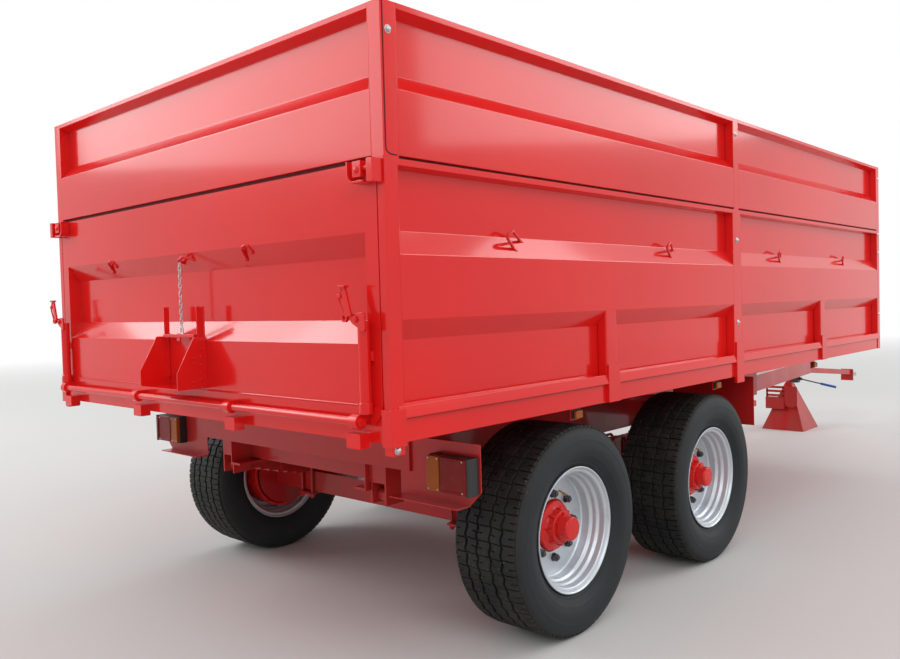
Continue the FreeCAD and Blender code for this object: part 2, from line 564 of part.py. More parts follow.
def grain_hatch():
    """A chute on the gate's foot and a plate that slides up between two angle guides."""
    cheek = [("0", "chute_top_z"), ("-chute_top_out", "chute_top_z"),
             ("-chute_out", "chute_knee_z"), ("-chute_out", "chute_bottom_z"),
             ("0", "chute_bottom_z")]
    foot = [("0", "gate_recess_bottom_z"), ("0", "chute_top_z"), ("sheet", "chute_top_z"),
            ("sheet", "gate_recess_bottom_z")]
    left = slab("chute_cheek", "xz", cheek, ("chute_half", "chute_half + chute_wall"))
    shelf = box("chute_shelf", ("-chute_out", "0"), ("-chute_half", "chute_half"),
                ("chute_bottom_z", "chute_bottom_z + chute_wall"))
    behind = "(slide_gap + slide_thick + slide_gap)"
    edge = "(slide_half + slide_gap)"
    height = ("slide_bottom_z", "guide_top_z")
    packer = box("guide_packer", ("-" + behind, "0"), (edge, "chute_half"), height)
    flat = box("guide_flat", ("-%s - guide_thick" % behind, "-" + behind),
               ("slide_half - guide_lap", "chute_half"), height)
    high = ("chute_top_z", "guide_top_z")
    wide = box("guide_wide", ("-%s - guide_thick" % behind, "-" + behind),
               ("chute_half", "slide_half - guide_lap + guide_wide"), high)
    stand = box("guide_leg", ("-%s - guide_stand" % behind, "-" + behind),
                ("slide_half - guide_lap", "slide_half - guide_lap + guide_thick"), high)
    sides = [left, packer, flat, wide, stand]
    node("hatch_chute", fuse("hatch_chute", shelf, *sides, *[mirrored(side) for side in sides]))

    near = "-slide_gap - slide_thick"
    plate = box("slide_plate", (near, "-slide_gap"), ("-slide_half", "slide_half"),
                ("slide_bottom_z", "slide_top_z"))
    half = "(slide_half - 2 * guide_lap - guide_thick)"
    lip = box("slide_lip_bar", (near + " - slide_lip", near), ("-" + half, half),
              ("slide_top_z - slide_thick", "slide_top_z"))
    node("hatch_slide", fuse("hatch_slide", plate, lip))
    node("hatch_chain", cylinder("hatch_chain", "z", near + " - slide_lip / 2", "0",
                                 ("slide_top_z", "chain_top_z"), "chain_wire"))


# --------------------------------------------------------------------------------------
# Chassis and drawbar
# --------------------------------------------------------------------------------------
def chassis():
    outer = "rail_y + rail_wide / 2"
    inner = "rail_y - rail_wide / 2"
    channel = [(outer, "chassis_bottom_z"), (outer, "chassis_top_z"), (inner, "chassis_top_z"),
               (inner, "chassis_top_z - flange"), (outer + " - web", "chassis_top_z - flange"),
               (outer + " - web", "chassis_bottom_z + flange"),
               (inner, "chassis_bottom_z + flange"), (inner, "chassis_bottom_z")]
    rail = slab("chassis_rail", "yz", channel, ("chassis_rear_x", "chassis_front_x"))
    node("chassis_rails", both("chassis_rails", rail))

    web = "(rail_y + rail_wide / 2 - web)"
    tubes = []
    for middle in ("cross_rear_x", "cross_second_x", "cross_ram_rear_x", "cross_ram_front_x",
                   "cross_front_x"):
        along = (middle + " - cross_wide / 2", middle + " + cross_wide / 2")
        tubes.append(hollow("cross_tube", "y", along, ("-" + web, web),
                            ("cross_bottom_z", "cross_top_z"), "cross_wall"))
    node("cross_members", group("cross_members", *tubes))

    node("rear_board", box("rear_board", ("board_x", "board_x + board_thick"),
                           ("-board_half", "board_half"), ("board_bottom_z", "board_top_z")))


def drawbar():
    outer = "(rail_y - rail_wide / 2)"
    inner = "(%s - leg_wide)" % outer
    front = "(leg_front_y - leg_wide)"
    slope = "(%s - leg_front_y) / (leg_front_x - leg_knee_x)" % outer
    leg = [("leg_rear_x", inner), ("leg_rear_x", outer), ("leg_knee_x", outer),
           ("leg_front_x", "leg_front_y"), ("leg_front_x", front), ("leg_knee_x", inner)]
    height = ("leg_bottom_z", "leg_top_z")
    node("drawbar_legs", both("drawbar_legs", slab("drawbar_leg", "xy", leg, height)))

    wide = "(%s + (leg_front_x - leg_nose_x) * %s)" % (front, slope)
    nose = [("leg_nose_x", "-" + wide), ("leg_front_x", "-" + front), ("leg_front_x", front),
            ("leg_nose_x", wide)]
    pole = [("leg_front_x", "pole_rear_top_z"), ("leg_front_x", "pole_rear_bottom_z"),
            ("hitch_x", "pole_front_bottom_z"), ("hitch_x", "pole_front_top_z")]
    flange = box("hitch_flange", ("hitch_x", "hitch_x + hitch_plate"),
                 ("-hitch_half", "hitch_half"), ("hitch_z - hitch_half", "hitch_z + hitch_half"))
    node("drawbar_pole", fuse("drawbar_pole", slab("drawbar_nose", "xy", nose, height),
                              slab("pole", "xz", pole, ("-pole_half", "pole_half")), flange))

    back = "hitch_x + hitch_plate"
    centre = back + " + eye_plate + eye_shank"
    plate = box("eye_flange", (back, back + " + eye_plate"), ("-eye_plate_half", "eye_plate_half"),
                ("hitch_z - eye_plate_half", "hitch_z + eye_plate_half"))
    shank = cylinder("eye_neck", "x",
                     (back + " + eye_plate", centre + " - (eye_bore + eye_radius) / 2"), "0",
                     "hitch_z", "eye_shank_radius")
    tall = ("hitch_z - eye_tall / 2", "hitch_z + eye_tall / 2")
    ring = cylinder("eye_ring", "z", centre, "0", tall, "eye_radius")
    bore = cylinder("eye_hole", "z", centre, "0", tall, "eye_bore")
    node("hitch_eye", cut("hitch_eye", fuse("eye_blank", plate, shank, ring), bore))


def stand():
    """A tube with a pyramid foot that slides in a sleeve beside the pole."""
    foot = pyramid("foot_skin", "0")
    void = pyramid("foot_void", "foot_wall")
    bar = box("leg_bar", ("stand_x - leg_tube / 2", "stand_x + leg_tube / 2"),
              ("stand_y - leg_tube / 2", "stand_y + leg_tube / 2"),
              ("foot_top_z", "leg_tube_top_z"))
    node("stand_leg", fuse("stand_leg", cut("stand_foot", foot, void), bar))

    half = "(leg_tube / 2 + sleeve_gap)"
    outer = "(leg_tube / 2 + sleeve_gap + sleeve_wall)"
    height = ("sleeve_bottom_z", "sleeve_top_z")
    sleeve = box("sleeve_outer", ("stand_x - " + outer, "stand_x + " + outer),
                 ("stand_y - " + outer, "stand_y + " + outer), height)
    bore = box("sleeve_bore", ("stand_x - " + half, "stand_x + " + half),
               ("stand_y - " + half, "stand_y + " + half), height)
    web = box("sleeve_web", ("stand_x - sleeve_plate / 2", "stand_x + sleeve_plate / 2"),
              ("pole_half", "stand_y - " + outer), height)
    plate = box("sleeve_side_plate", ("stand_x - " + outer, "stand_x + " + outer),
                ("pole_half", "pole_half + sleeve_plate"), ("pole_rear_bottom_z", "sleeve_top_z"))
    node("stand_bracket", fuse("stand_bracket", cut("stand_sleeve", sleeve, bore), web, plate))


def pyramid(name, wall):
    """A square pyramid with its top cut off, smaller by a wall all round."""
    item = doc.addObject("Part::Wedge", name)
    half = "(foot_half - %s)" % wall
    top = "(foot_top_half - %s)" % wall
    bind(item, Xmin="-" + half, Xmax=half, Zmin="-" + half, Zmax=half, X2min="-" + top, X2max=top,
         Z2min="-" + top, Z2max=top, Ymin=0, Ymax="foot_top_z - " + wall)
    item.Placement = FreeCAD.Placement(Vector(), Rotation(Vector(1, 0, 0), 90))
    return place(item, "stand_x", "stand_y", "0")


def tip_plates():
    """Two plates on each rail's tail with the pivot pin between them."""
    outer = "rail_y + rail_wide / 2"
    inner = "rail_y - rail_wide / 2"
    along = ("tip_plate_rear_x", "tip_plate_front_x")
    height = ("tip_plate_bottom_z", "tip_plate_top_z")
    near = box("tip_plate_near", along, (inner + " - tip_plate", inner), height)
    far = box("tip_plate_far", along, (outer, outer + " + tip_plate"), height)
    pin = cylinder("tip_pin", "y", "tip_x",
                   (inner + " - pin_over", outer + " + pin_over"), "tip_z", "tip_pin_radius")
    node("tip_plates", both("tip_plates", fuse("tip_fork", near, far, pin)))


def boards():
    """Light boards behind the rear wheels, with a lip along the foot, and front mud plates."""
    face = [("light_inner_y", "light_top_z"), ("light_inner_y", "light_bottom_z"),
            ("light_outer_y - light_chamfer", "light_bottom_z"),
            ("light_outer_y", "light_bottom_z + light_chamfer"), ("light_outer_y", "light_top_z")]
    board = slab("light_face", "yz", face, ("light_x", "light_x + plate"))
    lip = box("light_lip_bar", ("light_x - light_lip", "light_x"),
              ("light_inner_y", "light_outer_y - light_chamfer"),
              ("light_bottom_z", "light_bottom_z + plate"))
    arm = box("light_arm", ("light_x + plate", "light_x + plate + arm"),
              ("rail_y + rail_wide / 2", "light_outer_y - light_chamfer"),
              ("light_arm_z", "light_arm_z + arm"))
    node("light_boards", both("light_boards", fuse("light_board", board, lip, arm)))

    lamp = box("lamp", ("light_x - lamp_deep", "light_x"),
               ("lamp_inner_y", "lamp_inner_y + lamp_long"),
               ("lamp_bottom_z", "lamp_bottom_z + lamp_tall"))
    node("tail_lamps", both("tail_lamps", lamp))

    plate = box("mud_plate", ("mud_x", "mud_x + plate"), ("mud_inner_y", "mud_outer_y"),
                ("mud_bottom_z", "mud_top_z"))
    arm = box("mud_arm", ("mud_x + plate", "mud_x + plate + arm"),
              ("rail_y + rail_wide / 2", "mud_outer_y"), ("light_arm_z", "light_arm_z + arm"))
    node("mud_plates", both("mud_plates", fuse("mud_board", plate, arm)))


# --------------------------------------------------------------------------------------
# Running gear
# --------------------------------------------------------------------------------------
AXLES = ("rear", "front")
TYRE = [
    ("bead_radius", "-bead_half"), ("rim_flange_radius + rim_flange_thick", "-bead_half"),
    ("tyre_wall_radius", "-tyre_width / 2"),
    ("wheel_z - tyre_shoulder", "-tyre_width / 2 + tyre_shoulder_in"),
    ("wheel_z", "-tyre_tread_width / 2"), ("wheel_z", "tyre_tread_width / 2"),
    ("wheel_z - tyre_shoulder", "tyre_width / 2 - tyre_shoulder_in"),
    ("tyre_wall_radius", "tyre_width / 2"),
    ("rim_flange_radius + rim_flange_thick", "bead_half"), ("bead_radius", "bead_half"),
]
RIM = [
    ("rim_flange_radius", "-rim_half"), ("rim_flange_radius", "-bead_half"),
    ("bead_radius", "-bead_half"), ("bead_radius", "-bead_half + rim_seat"),
    ("rim_well_radius", "-rim_well_out"), ("rim_well_radius", "rim_well_out"),
    ("bead_radius", "bead_half - rim_seat"), ("bead_radius", "bead_half"),
    ("rim_flange_radius", "bead_half"), ("rim_flange_radius", "rim_half"),
    ("bead_radius - rim_wall", "rim_half"), ("bead_radius - rim_wall", "bead_half - rim_seat"),
    ("rim_well_radius - rim_wall", "rim_well_out"),
    ("rim_well_radius - rim_wall", "disc_out + disc_thick"),
    ("disc_bore", "disc_out + disc_thick"), ("disc_bore", "disc_out"),
    ("rim_well_radius - rim_wall", "disc_out"), ("rim_well_radius - rim_wall", "-rim_well_out"),
    ("bead_radius - rim_wall", "-bead_half + rim_seat"), ("bead_radius - rim_wall", "-rim_half"),
]
HUB = [
    ("0", "disc_out + hub_cap_out"), ("hub_cap_radius", "disc_out + hub_cap_out"),
    ("hub_cap_radius", "disc_out + hub_neck_out"), ("hub_neck_radius", "disc_out + hub_neck_out"),
    ("hub_neck_radius", "disc_out + hub_boss_out"), ("hub_boss_radius", "disc_out + disc_thick"),
    ("hub_boss_radius", "disc_out"), ("hub_flange_radius", "disc_out"),
    ("drum_radius", "disc_out - hub_flange_thick"),
    ("drum_radius", "disc_out - hub_flange_thick - drum_width"),
    ("drum_radius - drum_wall", "disc_out - hub_flange_thick - drum_width"),
    ("drum_radius - drum_wall", "disc_out - hub_flange_thick - drum_wall"),
    ("hub_barrel_radius", "disc_out - hub_flange_thick - drum_wall"),
    ("hub_barrel_radius", "disc_out - hub_flange_thick - drum_width"),
    ("spindle_radius + spindle_gap", "disc_out - hub_flange_thick - drum_width"),
    ("spindle_radius + spindle_gap", "spindle_out + plate_gap"), ("0", "spindle_out + plate_gap"),
]


def wheels():
    for axle in AXLES:
        x = "wheel_%s_x" % axle
        tyre = turned("tyre_" + axle, TYRE, x, "wheel_y", "wheel_z")
        rim = turned("rim_" + axle, RIM, x, "wheel_y", "wheel_z")
        hub = turned("hub_" + axle, HUB, x, "wheel_y", "wheel_z")
        for name, item in (("tyre", tyre), ("rim", rim), ("hub", hub)):
            node("%s_left_%s" % (name, axle), item)
            node("%s_right_%s" % (name, axle), mirrored(item))


def axles():
    half = "axle_size / 2"
    drum_end = "(wheel_y + disc_out - hub_flange_thick - drum_width - plate_gap)"
    beams = []
    for axle in AXLES:
        x = "wheel_%s_x" % axle
        beam = box("axle_beam_" + axle, ("%s - %s" % (x, half), "%s + %s" % (x, half)),
                   ("-(%s)" % drum_end, drum_end), ("wheel_z - " + half, "wheel_z + " + half))
        spindle = cylinder("spindle_" + axle, "y", x,
                           ("-wheel_y - spindle_out", "wheel_y + spindle_out"), "wheel_z",
                           "spindle_radius")
        plate = cylinder("back_plate_" + axle, "y", x, (drum_end + " - plate_thick", drum_end),
                         "wheel_z", "plate_radius")
        beams.append(fuse("axle_" + axle, beam, spindle, plate, mirrored(plate)))
    node("axles", group("axles", *beams))


def springs():
    width = ("spring_y - spring_wide / 2", "spring_y + spring_wide / 2")
    seat = "(wheel_z + axle_size / 2)"
    packs = []
    for axle in AXLES:
        x = "wheel_%s_x" % axle
        leaf = [(x + " - spring_half", "eye_z + spring_leaf"), (x, "spring_top_z"),
                (x + " + spring_half", "eye_z + spring_leaf"), (x + " + spring_half", "eye_z"),
                (x + " + spring_seat_half", seat), (x + " - spring_seat_half", seat),
                (x + " - spring_half", "eye_z")]
        blade = slab("spring_blade_" + axle, "xz", leaf, width)
        rear = cylinder("spring_eye_rear", "y", x + " - spring_half", width, "eye_z",
                        "spring_eye_radius")
        front = cylinder("spring_eye_front", "y", x + " + spring_half", width, "eye_z",
                         "spring_eye_radius")
        packs.append(fuse("spring_" + axle, blade, rear, front))
    rear = "wheel_rear_x - spring_half"
    front = "wheel_front_x + spring_half"
    packs[0] = cut("spring_rear_bored", packs[0], pin_bar("rear_eye_bore", rear, "eye_z"))
    packs[1] = cut("spring_front_bored", packs[1], pin_bar("front_eye_bore", front, "eye_z"))
    node("leaf_springs", both("leaf_springs", *packs))

    middle = "(wheel_rear_x + wheel_front_x) / 2"
    node("spring_hangers", both("spring_hangers", hanger("rear_hanger", rear, "eye_z"),
                                hanger("middle_hanger", middle, "rocker_z"),
                                hanger("front_hanger", front, "eye_z")))

    back = "wheel_rear_x + spring_half"
    ahead = "wheel_front_x - spring_half"
    under = "eye_z + spring_eye_radius + rest_gap"
    rocker = [(back + " - rocker_over", under), (ahead + " + rocker_over", under),
              (ahead + " + rocker_over", under + " + rocker_end"),
              (middle, "rocker_z + 2 * hanger_pin_radius"),
              (back + " - rocker_over", under + " + rocker_end")]
    blade = slab("rocker_blade", "xz", rocker,
                 ("spring_y - rocker_wide / 2", "spring_y + rocker_wide / 2"))
    node("equalisers", both("equalisers", cut("equaliser", blade,
                                              pin_bar("rocker_bore", middle, "rocker_z"))))


def pin_bar(name, x, z):
    """The space of a hanger's pin."""
    reach = "(spring_wide / 2 + hanger_gap)"
    return cylinder(name, "y", x, ("spring_y - " + reach, "spring_y + " + reach), z,
                    "hanger_pin_radius")


def hanger(name, x, pin_z):
    """A block on the rail with two plates that hold a spring's eye or the rocker on a pin."""
    near = "(spring_y - spring_wide / 2 - hanger_gap - hanger_plate)"
    far = "(spring_y + spring_wide / 2 + hanger_gap + hanger_plate)"
    along = (x + " - hanger_half", x + " + hanger_half")
    block_z = "hanger_block_z + (%s - eye_z)" % pin_z
    block = box(name + "_block", along, ("rail_y + rail_wide / 2", far), (block_z, "hanger_top_z"))
    height = (pin_z + " - eye_z + hanger_bottom_z", block_z)
    left = box(name + "_left", along, (far + " - hanger_plate", far), height)
    right = box(name + "_right", along, (near, near + " + hanger_plate"), height)
    return fuse(name, block, left, right, pin_bar(name + "_pin", x, pin_z))


# --------------------------------------------------------------------------------------
# Tipping ram
# --------------------------------------------------------------------------------------
def leaned(label, item):
    """Stand a ram piece, built upright about its trunnion, on the line of the two pivots."""
    item.Placement = FreeCAD.Placement(Vector(), Rotation(Vector(0, 1, 0), 1))
    lean = "atan((ram_top_x - ram_base_x) / (ram_top_z - ram_base_z))"
    bind(item, **{"Placement.Rotation.Angle": lean})
    place(item, "ram_base_x", "0", "ram_base_z")
    node(label, item)


def upright(name, span, radius):
    """A round bar along the ram's own axis, before it is stood in its place."""
    item = doc.addObject("Part::Cylinder", name)
    bind(item, Radius=radius, Height=minus(span[1], span[0]))
    bind(item, **{"Placement.Base.z": span[0]})
    return item


def ram():
    pins = doc.addObject("Part::Cylinder", "trunnion")
    pins.Placement = FreeCAD.Placement(Vector(), TURN["y"])
    bind(pins, Radius="trunnion_radius", Height="2 * (cradle_y + cradle_plate)")
    bind(pins, **{"Placement.Base.y": "-cradle_y - cradle_plate"})
    skin = upright("barrel_skin", ("-barrel_low", "barrel_high"), "barrel_radius")
    bore = upright("barrel_bore", ("-barrel_low + barrel_floor", "barrel_high - gland"),
                   "barrel_radius - tube_wall")
    neck = upright("barrel_neck", ("barrel_high - gland", "barrel_high"),
                   "barrel_radius - tube_step + gland_gap")
    leaned("ram_barrel", cut("ram_barrel", fuse("barrel_blank", skin, pins), bore, neck))

    for step in range(1, STAGES):
        radius = "(barrel_radius - %d * tube_step)" % step
        high = "(barrel_high + %d * stage_show)" % step
        name = "stage_%d" % step
        skin = upright(name + "_skin", ("-stage_low", high), radius)
        bore = upright(name + "_bore", ("-stage_low", high + " - gland"), radius + " - tube_wall")
        neck = upright(name + "_neck", (high + " - gland", high),
                       radius + " - tube_step + gland_gap")
        leaned("ram_stage_%d" % step, cut("ram_" + name, skin, bore, neck))

    reach = "sqrt(pow(ram_top_x - ram_base_x; 2) + pow(ram_top_z - ram_base_z; 2))"
    rod = upright("rod_bar", ("-stage_low", reach), "barrel_radius - %d * tube_step" % STAGES)
    flat = doc.addObject("Part::Box", "rod_flat")
    bind(flat, Length="4 * barrel_radius", Width="barrel_radius", Height="2 * barrel_radius")
    bind(flat, **{"Placement.Base.x": "-2 * barrel_radius", "Placement.Base.y": "head_half",
                  "Placement.Base.z": "barrel_high + %d * stage_show" % (STAGES - 1)})
    eye = doc.addObject("Part::Cylinder", "rod_eye")
    eye.Placement = FreeCAD.Placement(Vector(), TURN["y"])
    bind(eye, Radius="head_radius", Height="2 * head_half")
    bind(eye, **{"Placement.Base.y": "-head_half", "Placement.Base.z": reach})
    pin = doc.addObject("Part::Cylinder", "rod_pin")
    pin.Placement = FreeCAD.Placement(Vector(), TURN["y"])
    bind(pin, Radius="head_pin_radius", Height="2 * head_pin_half")
    bind(pin, **{"Placement.Base.y": "-head_pin_half", "Placement.Base.z": reach})
    slim = cut("rod_slim", rod, flat, mirrored(flat))
    rod_name = "ram_stage_%d" % STAGES
    leaned(rod_name, fuse(rod_name, slim, eye, pin))


def ram_cradle():
    """Two plates between the cross members that carry the barrel's trunnion."""
    rear = "cross_ram_rear_x + cross_wide / 2"
    front = "cross_ram_front_x - cross_wide / 2"
    side = [(rear, "cross_bottom_z"), (rear, "cradle_top_z"), (front, "cradle_top_z"),
            (front, "cross_bottom_z"), ("ram_base_x + cradle_half", "cradle_bottom_z"),
            ("ram_base_x - cradle_half", "cradle_bottom_z")]
    span = ("cradle_y", "cradle_y + cradle_plate")
    bore = cylinder("cradle_bore", "y", "ram_base_x", span, "ram_base_z",
                    "trunnion_radius + pin_gap")
    plate = cut("cradle_side", slab("cradle_blank", "xz", side, span), bore)
    node("ram_cradle", both("ram_cradle", plate))


# --------------------------------------------------------------------------------------
# Build, check and write
# --------------------------------------------------------------------------------------
def build():
    panels()
    posts()
    ribs_and_pockets()
    floor()
    tip_lugs()
    ram_bracket()
    tailgate()
    gate_hinge()
    lock_gear()
    grain_hatch()
    chassis()
    drawbar()
    stand()
    tip_plates()
    boards()
    wheels()
    axles()
    springs()
    ram()
    ram_cradle()
    doc.recompute()


def write():
    for item in doc.Objects:
        if "Invalid" in item.State or "Error" in item.State:
            raise RuntimeError("%s failed: %s" % (item.Name, item.State))
    for item in NODES:
        if item.Shape.isNull() or not item.Shape.isValid():
            raise RuntimeError("%s has no valid shape" % item.Label)
    os.makedirs("parts", exist_ok=True)
    for item in NODES:
        item.Shape.exportStep("parts/%s.step" % item.Label)
        print("%-24s %2d solids %10.1f cm3" % (item.Label, len(item.Shape.Solids),
                                              item.Shape.Volume / 1000))
    print(len(NODES), "nodes")


build()
write()
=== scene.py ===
"""Looks of a tandem-axle tipping trailer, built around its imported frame.

Each operator makes one piece or one group of like pieces, in metres, in the part's own frame:
+X forward to the drawbar, +Y left, +Z up, floor at Z = 0.
"""
import json
import math
from contextlib import contextmanager

import bmesh
import bpy
from mathutils import Matrix, Vector

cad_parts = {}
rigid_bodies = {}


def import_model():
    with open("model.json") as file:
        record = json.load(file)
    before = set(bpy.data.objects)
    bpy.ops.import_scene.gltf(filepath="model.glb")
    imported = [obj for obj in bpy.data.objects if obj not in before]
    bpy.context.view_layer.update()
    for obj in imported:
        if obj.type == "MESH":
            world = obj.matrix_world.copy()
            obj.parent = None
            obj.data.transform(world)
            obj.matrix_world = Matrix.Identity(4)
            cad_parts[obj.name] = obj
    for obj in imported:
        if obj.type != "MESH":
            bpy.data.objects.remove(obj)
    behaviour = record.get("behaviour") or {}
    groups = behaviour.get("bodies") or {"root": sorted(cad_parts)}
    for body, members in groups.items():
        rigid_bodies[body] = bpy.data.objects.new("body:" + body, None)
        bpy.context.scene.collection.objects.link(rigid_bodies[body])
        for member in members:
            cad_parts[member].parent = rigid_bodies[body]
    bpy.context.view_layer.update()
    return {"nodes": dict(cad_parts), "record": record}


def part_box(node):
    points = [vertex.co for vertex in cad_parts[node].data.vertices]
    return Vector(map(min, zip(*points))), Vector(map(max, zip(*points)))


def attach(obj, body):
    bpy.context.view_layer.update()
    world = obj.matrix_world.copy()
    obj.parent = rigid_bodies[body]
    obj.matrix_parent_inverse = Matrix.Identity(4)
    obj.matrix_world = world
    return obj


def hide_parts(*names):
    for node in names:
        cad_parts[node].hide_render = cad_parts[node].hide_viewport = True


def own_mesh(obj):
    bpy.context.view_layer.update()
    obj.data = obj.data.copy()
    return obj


bl_info = {
    "name": "Tipping Trailer Looks",
    "version": (1, 0, 0),
    "blender": (4, 5, 0),
    "location": "View3D > Sidebar > Trailer",
    "description": "Paint, tyres, rims, lamps and fittings for a tipping trailer",
    "category": "Object",
}

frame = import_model()
TURN = 2 * math.pi
SIDES = ("left", "right")


def low(node):
    """The lowest corner of a frame node."""
    return Vector(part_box(node)[0])


def high(node):
    """The highest corner of a frame node."""
    return Vector(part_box(node)[1])


REAR_X = low("lower_posts").x
FRONT_X = high("lower_posts").x
SIDE_Y = high("lower_posts").y
AXLE_Z = high("tyre_left_rear").z / 2
AXLES = {axle: (low("tyre_left_" + axle).x + high("tyre_left_" + axle).x) / 2
         for axle in ("rear", "front")}
WHEEL_Y = (low("tyre_left_rear").y + high("tyre_left_rear").y) / 2
# The middle of the right rear wheel, on which the wheels' pieces are modelled.
RIGHT_WHEEL = Vector((AXLES["rear"], -WHEEL_Y, AXLE_Z))
TO_RIGHT, TO_REAR = Vector((0, -1, 0)), Vector((-1, 0, 0))
# Vertices nearer than this are one vertex.
MERGE_GAP = 1e-5


# --------------------------------------------------------------------------------------
# Selecting and shaping
# --------------------------------------------------------------------------------------
def take(piece):
    """Make one object the only selected one, and the active one."""
    bpy.ops.object.select_all(action="DESELECT")
    piece.select_set(True)
    bpy.context.view_layer.objects.active = piece


def primitive(name, kind, place, **options):
    """Add a mesh primitive under a name, with its place in its mesh."""
    bpy.ops.object.select_all(action="DESELECT")
    getattr(bpy.ops.mesh, "primitive_%s_add" % kind)(location=place, **options)
    piece = bpy.context.object
    piece.name = piece.data.name = name
    bpy.ops.object.transform_apply(location=True, rotation=True, scale=True)
    return piece


@contextmanager
def editing(piece, mode="VERT"):
    """Work on one piece in edit mode, with nothing selected at first."""
    take(piece)
    bpy.ops.object.mode_set(mode="EDIT")
    bpy.ops.mesh.select_mode(type=mode)
    bpy.ops.mesh.select_all(action="DESELECT")
    yield
    bpy.ops.object.mode_set(mode="OBJECT")


def pick_all():
    """In edit mode, select the whole mesh."""
    bpy.ops.mesh.select_all(action="SELECT")


def pick(piece, kind, test):
    """In edit mode, select the faces, edges or vertices that pass a test."""
    mode = {"faces": "FACE", "edges": "EDGE", "verts": "VERT"}[kind]
    bpy.ops.mesh.select_mode(type=mode)
    bpy.ops.mesh.select_all(action="DESELECT")
    mesh = bmesh.from_edit_mesh(piece.data)
    for item in getattr(mesh, kind):
        item.select_set(bool(test(item)))
    mesh.select_flush_mode()
    bmesh.update_edit_mesh(piece.data)


def push(move):
    """Extrude what is selected by a move."""
    bpy.ops.mesh.extrude_region_move(TRANSFORM_OT_translate={"value": move})


def fill_line():
    """In edit mode, close the line that was drawn and fill it with a face."""
    pick_all()
    bpy.ops.mesh.remove_doubles(threshold=MERGE_GAP)
    bpy.ops.mesh.edge_face_add()


def tidy_mesh():
    """In edit mode, merge doubles and point every face outwards."""
    pick_all()
    bpy.ops.mesh.remove_doubles(threshold=2 * MERGE_GAP)
    bpy.ops.mesh.normals_make_consistent(inside=False)


def modify(piece, kind, **settings):
    """Add a modifier and apply it."""
    take(piece)
    modifier = piece.modifiers.new(kind, kind)
    for name, value in settings.items():
        setattr(modifier, name, value)
    bpy.ops.object.modifier_apply(modifier=modifier.name)
    return piece


def smooth(piece, degrees):
    """Shade a piece smooth, except where its faces meet at more than an angle."""
    take(piece)
    bpy.ops.object.shade_smooth_by_angle(angle=math.radians(degrees))
    return piece


def soften(piece, width):
    """Round the sharp edges and shade what is left smooth."""
    modify(piece, "BEVEL", width=width, segments=2, limit_method="ANGLE",
           angle_limit=math.radians(30))
    return smooth(piece, 40)


def block(name, lowest, highest, width=0.002):
    """A bar or plate between two corners, with rounded edges."""
    lowest, highest = Vector(lowest), Vector(highest)
    piece = primitive(name, "cube", (lowest + highest) / 2, size=1, scale=highest - lowest)
    return soften(piece, width)


def drawn(name, points):
    """A line of edges through points, drawn from the first one."""
    piece = primitive(name, "plane", points[0], size=0.001)
    with editing(piece):
        pick_all()
        bpy.ops.mesh.merge(type="CENTER")
        for here, there in zip(points, points[1:]):
            push(Vector(there) - Vector(here))
    return piece


def turned(name, profile, centre, axis="y", steps=96, closed=True):
    """A round piece: the (radius, along) profile spun about an axis through a centre."""
    centre = Vector(centre)
    along = Vector([float(axis == letter) for letter in "xyz"])
    out = Vector((0, 0, 1)) if axis != "z" else Vector((1, 0, 0))
    points = [centre + out * radius + along * place for radius, place in profile]
    if closed:
        points.append(points[0])
    piece = drawn(name, points)
    with editing(piece):
        pick_all()
        bpy.ops.mesh.spin(steps=steps, angle=TURN, center=centre, axis=along)
        tidy_mesh()
    return piece


def turned_out(name, profile, place, out, steps, closed=False):
    """A round piece on a face: its (radius, height) profile, with the heights along out."""
    axis = max(range(3), key=lambda letter: abs(out[letter]))
    return turned(name, [(radius, out[axis] * height) for radius, height in profile], place,
                  "xyz"[axis], steps, closed)


def plate(name, points, thickness, width=0.0015):
    """A flat plate: an outline of points pushed through its thickness."""
    piece = drawn(name, list(points) + [points[0]])
    with editing(piece):
        fill_line()
        push(thickness)
        tidy_mesh()
    return soften(piece, width)


def rod(name, radius, corners, bend=0.0, sides=12):
    """A round bar through corner points, bent to a radius at each, with closed ends."""
    corners = [Vector(corner) for corner in corners]
    heading = (corners[1] - corners[0]).normalized()
    turn = heading.to_track_quat("Z", "Y").to_euler()
    piece = primitive(name, "circle", corners[0], radius=radius, vertices=sides, rotation=turn)
    tip = corners[0]
    with editing(piece, "EDGE"):
        pick_all()
        for corner, following in zip(corners[1:-1], corners[2:]):
            leave = (following - corner).normalized()
            swing = heading.angle(leave)
            if swing < 1e-3:
                push(corner - tip)
                tip = corner
                continue
            axis = heading.cross(leave).normalized()
            reach = bend * math.tan(swing / 2)
            push(corner - heading * reach - tip)
            centre = corner - heading * reach + axis.cross(heading) * bend
            bpy.ops.mesh.spin(steps=max(3, round(swing / math.radians(12))), angle=-swing,
                              center=centre, axis=axis)
            tip = corner + leave * reach
            heading = leave
        push(corners[-1] - tip)
        pick(piece, "edges", lambda edge: edge.is_boundary)
        bpy.ops.mesh.edge_face_add()
        tidy_mesh()
    return smooth(piece, 40)


def ring_of(piece, number):
    """Repeat a piece round the right rear wheel's axis, in one mesh."""
    with editing(piece):
        pick_all()
        bpy.ops.mesh.spin(steps=number - 1, dupli=True, angle=TURN * (number - 1) / number,
                          center=RIGHT_WHEEL, axis=(0, 1, 0))


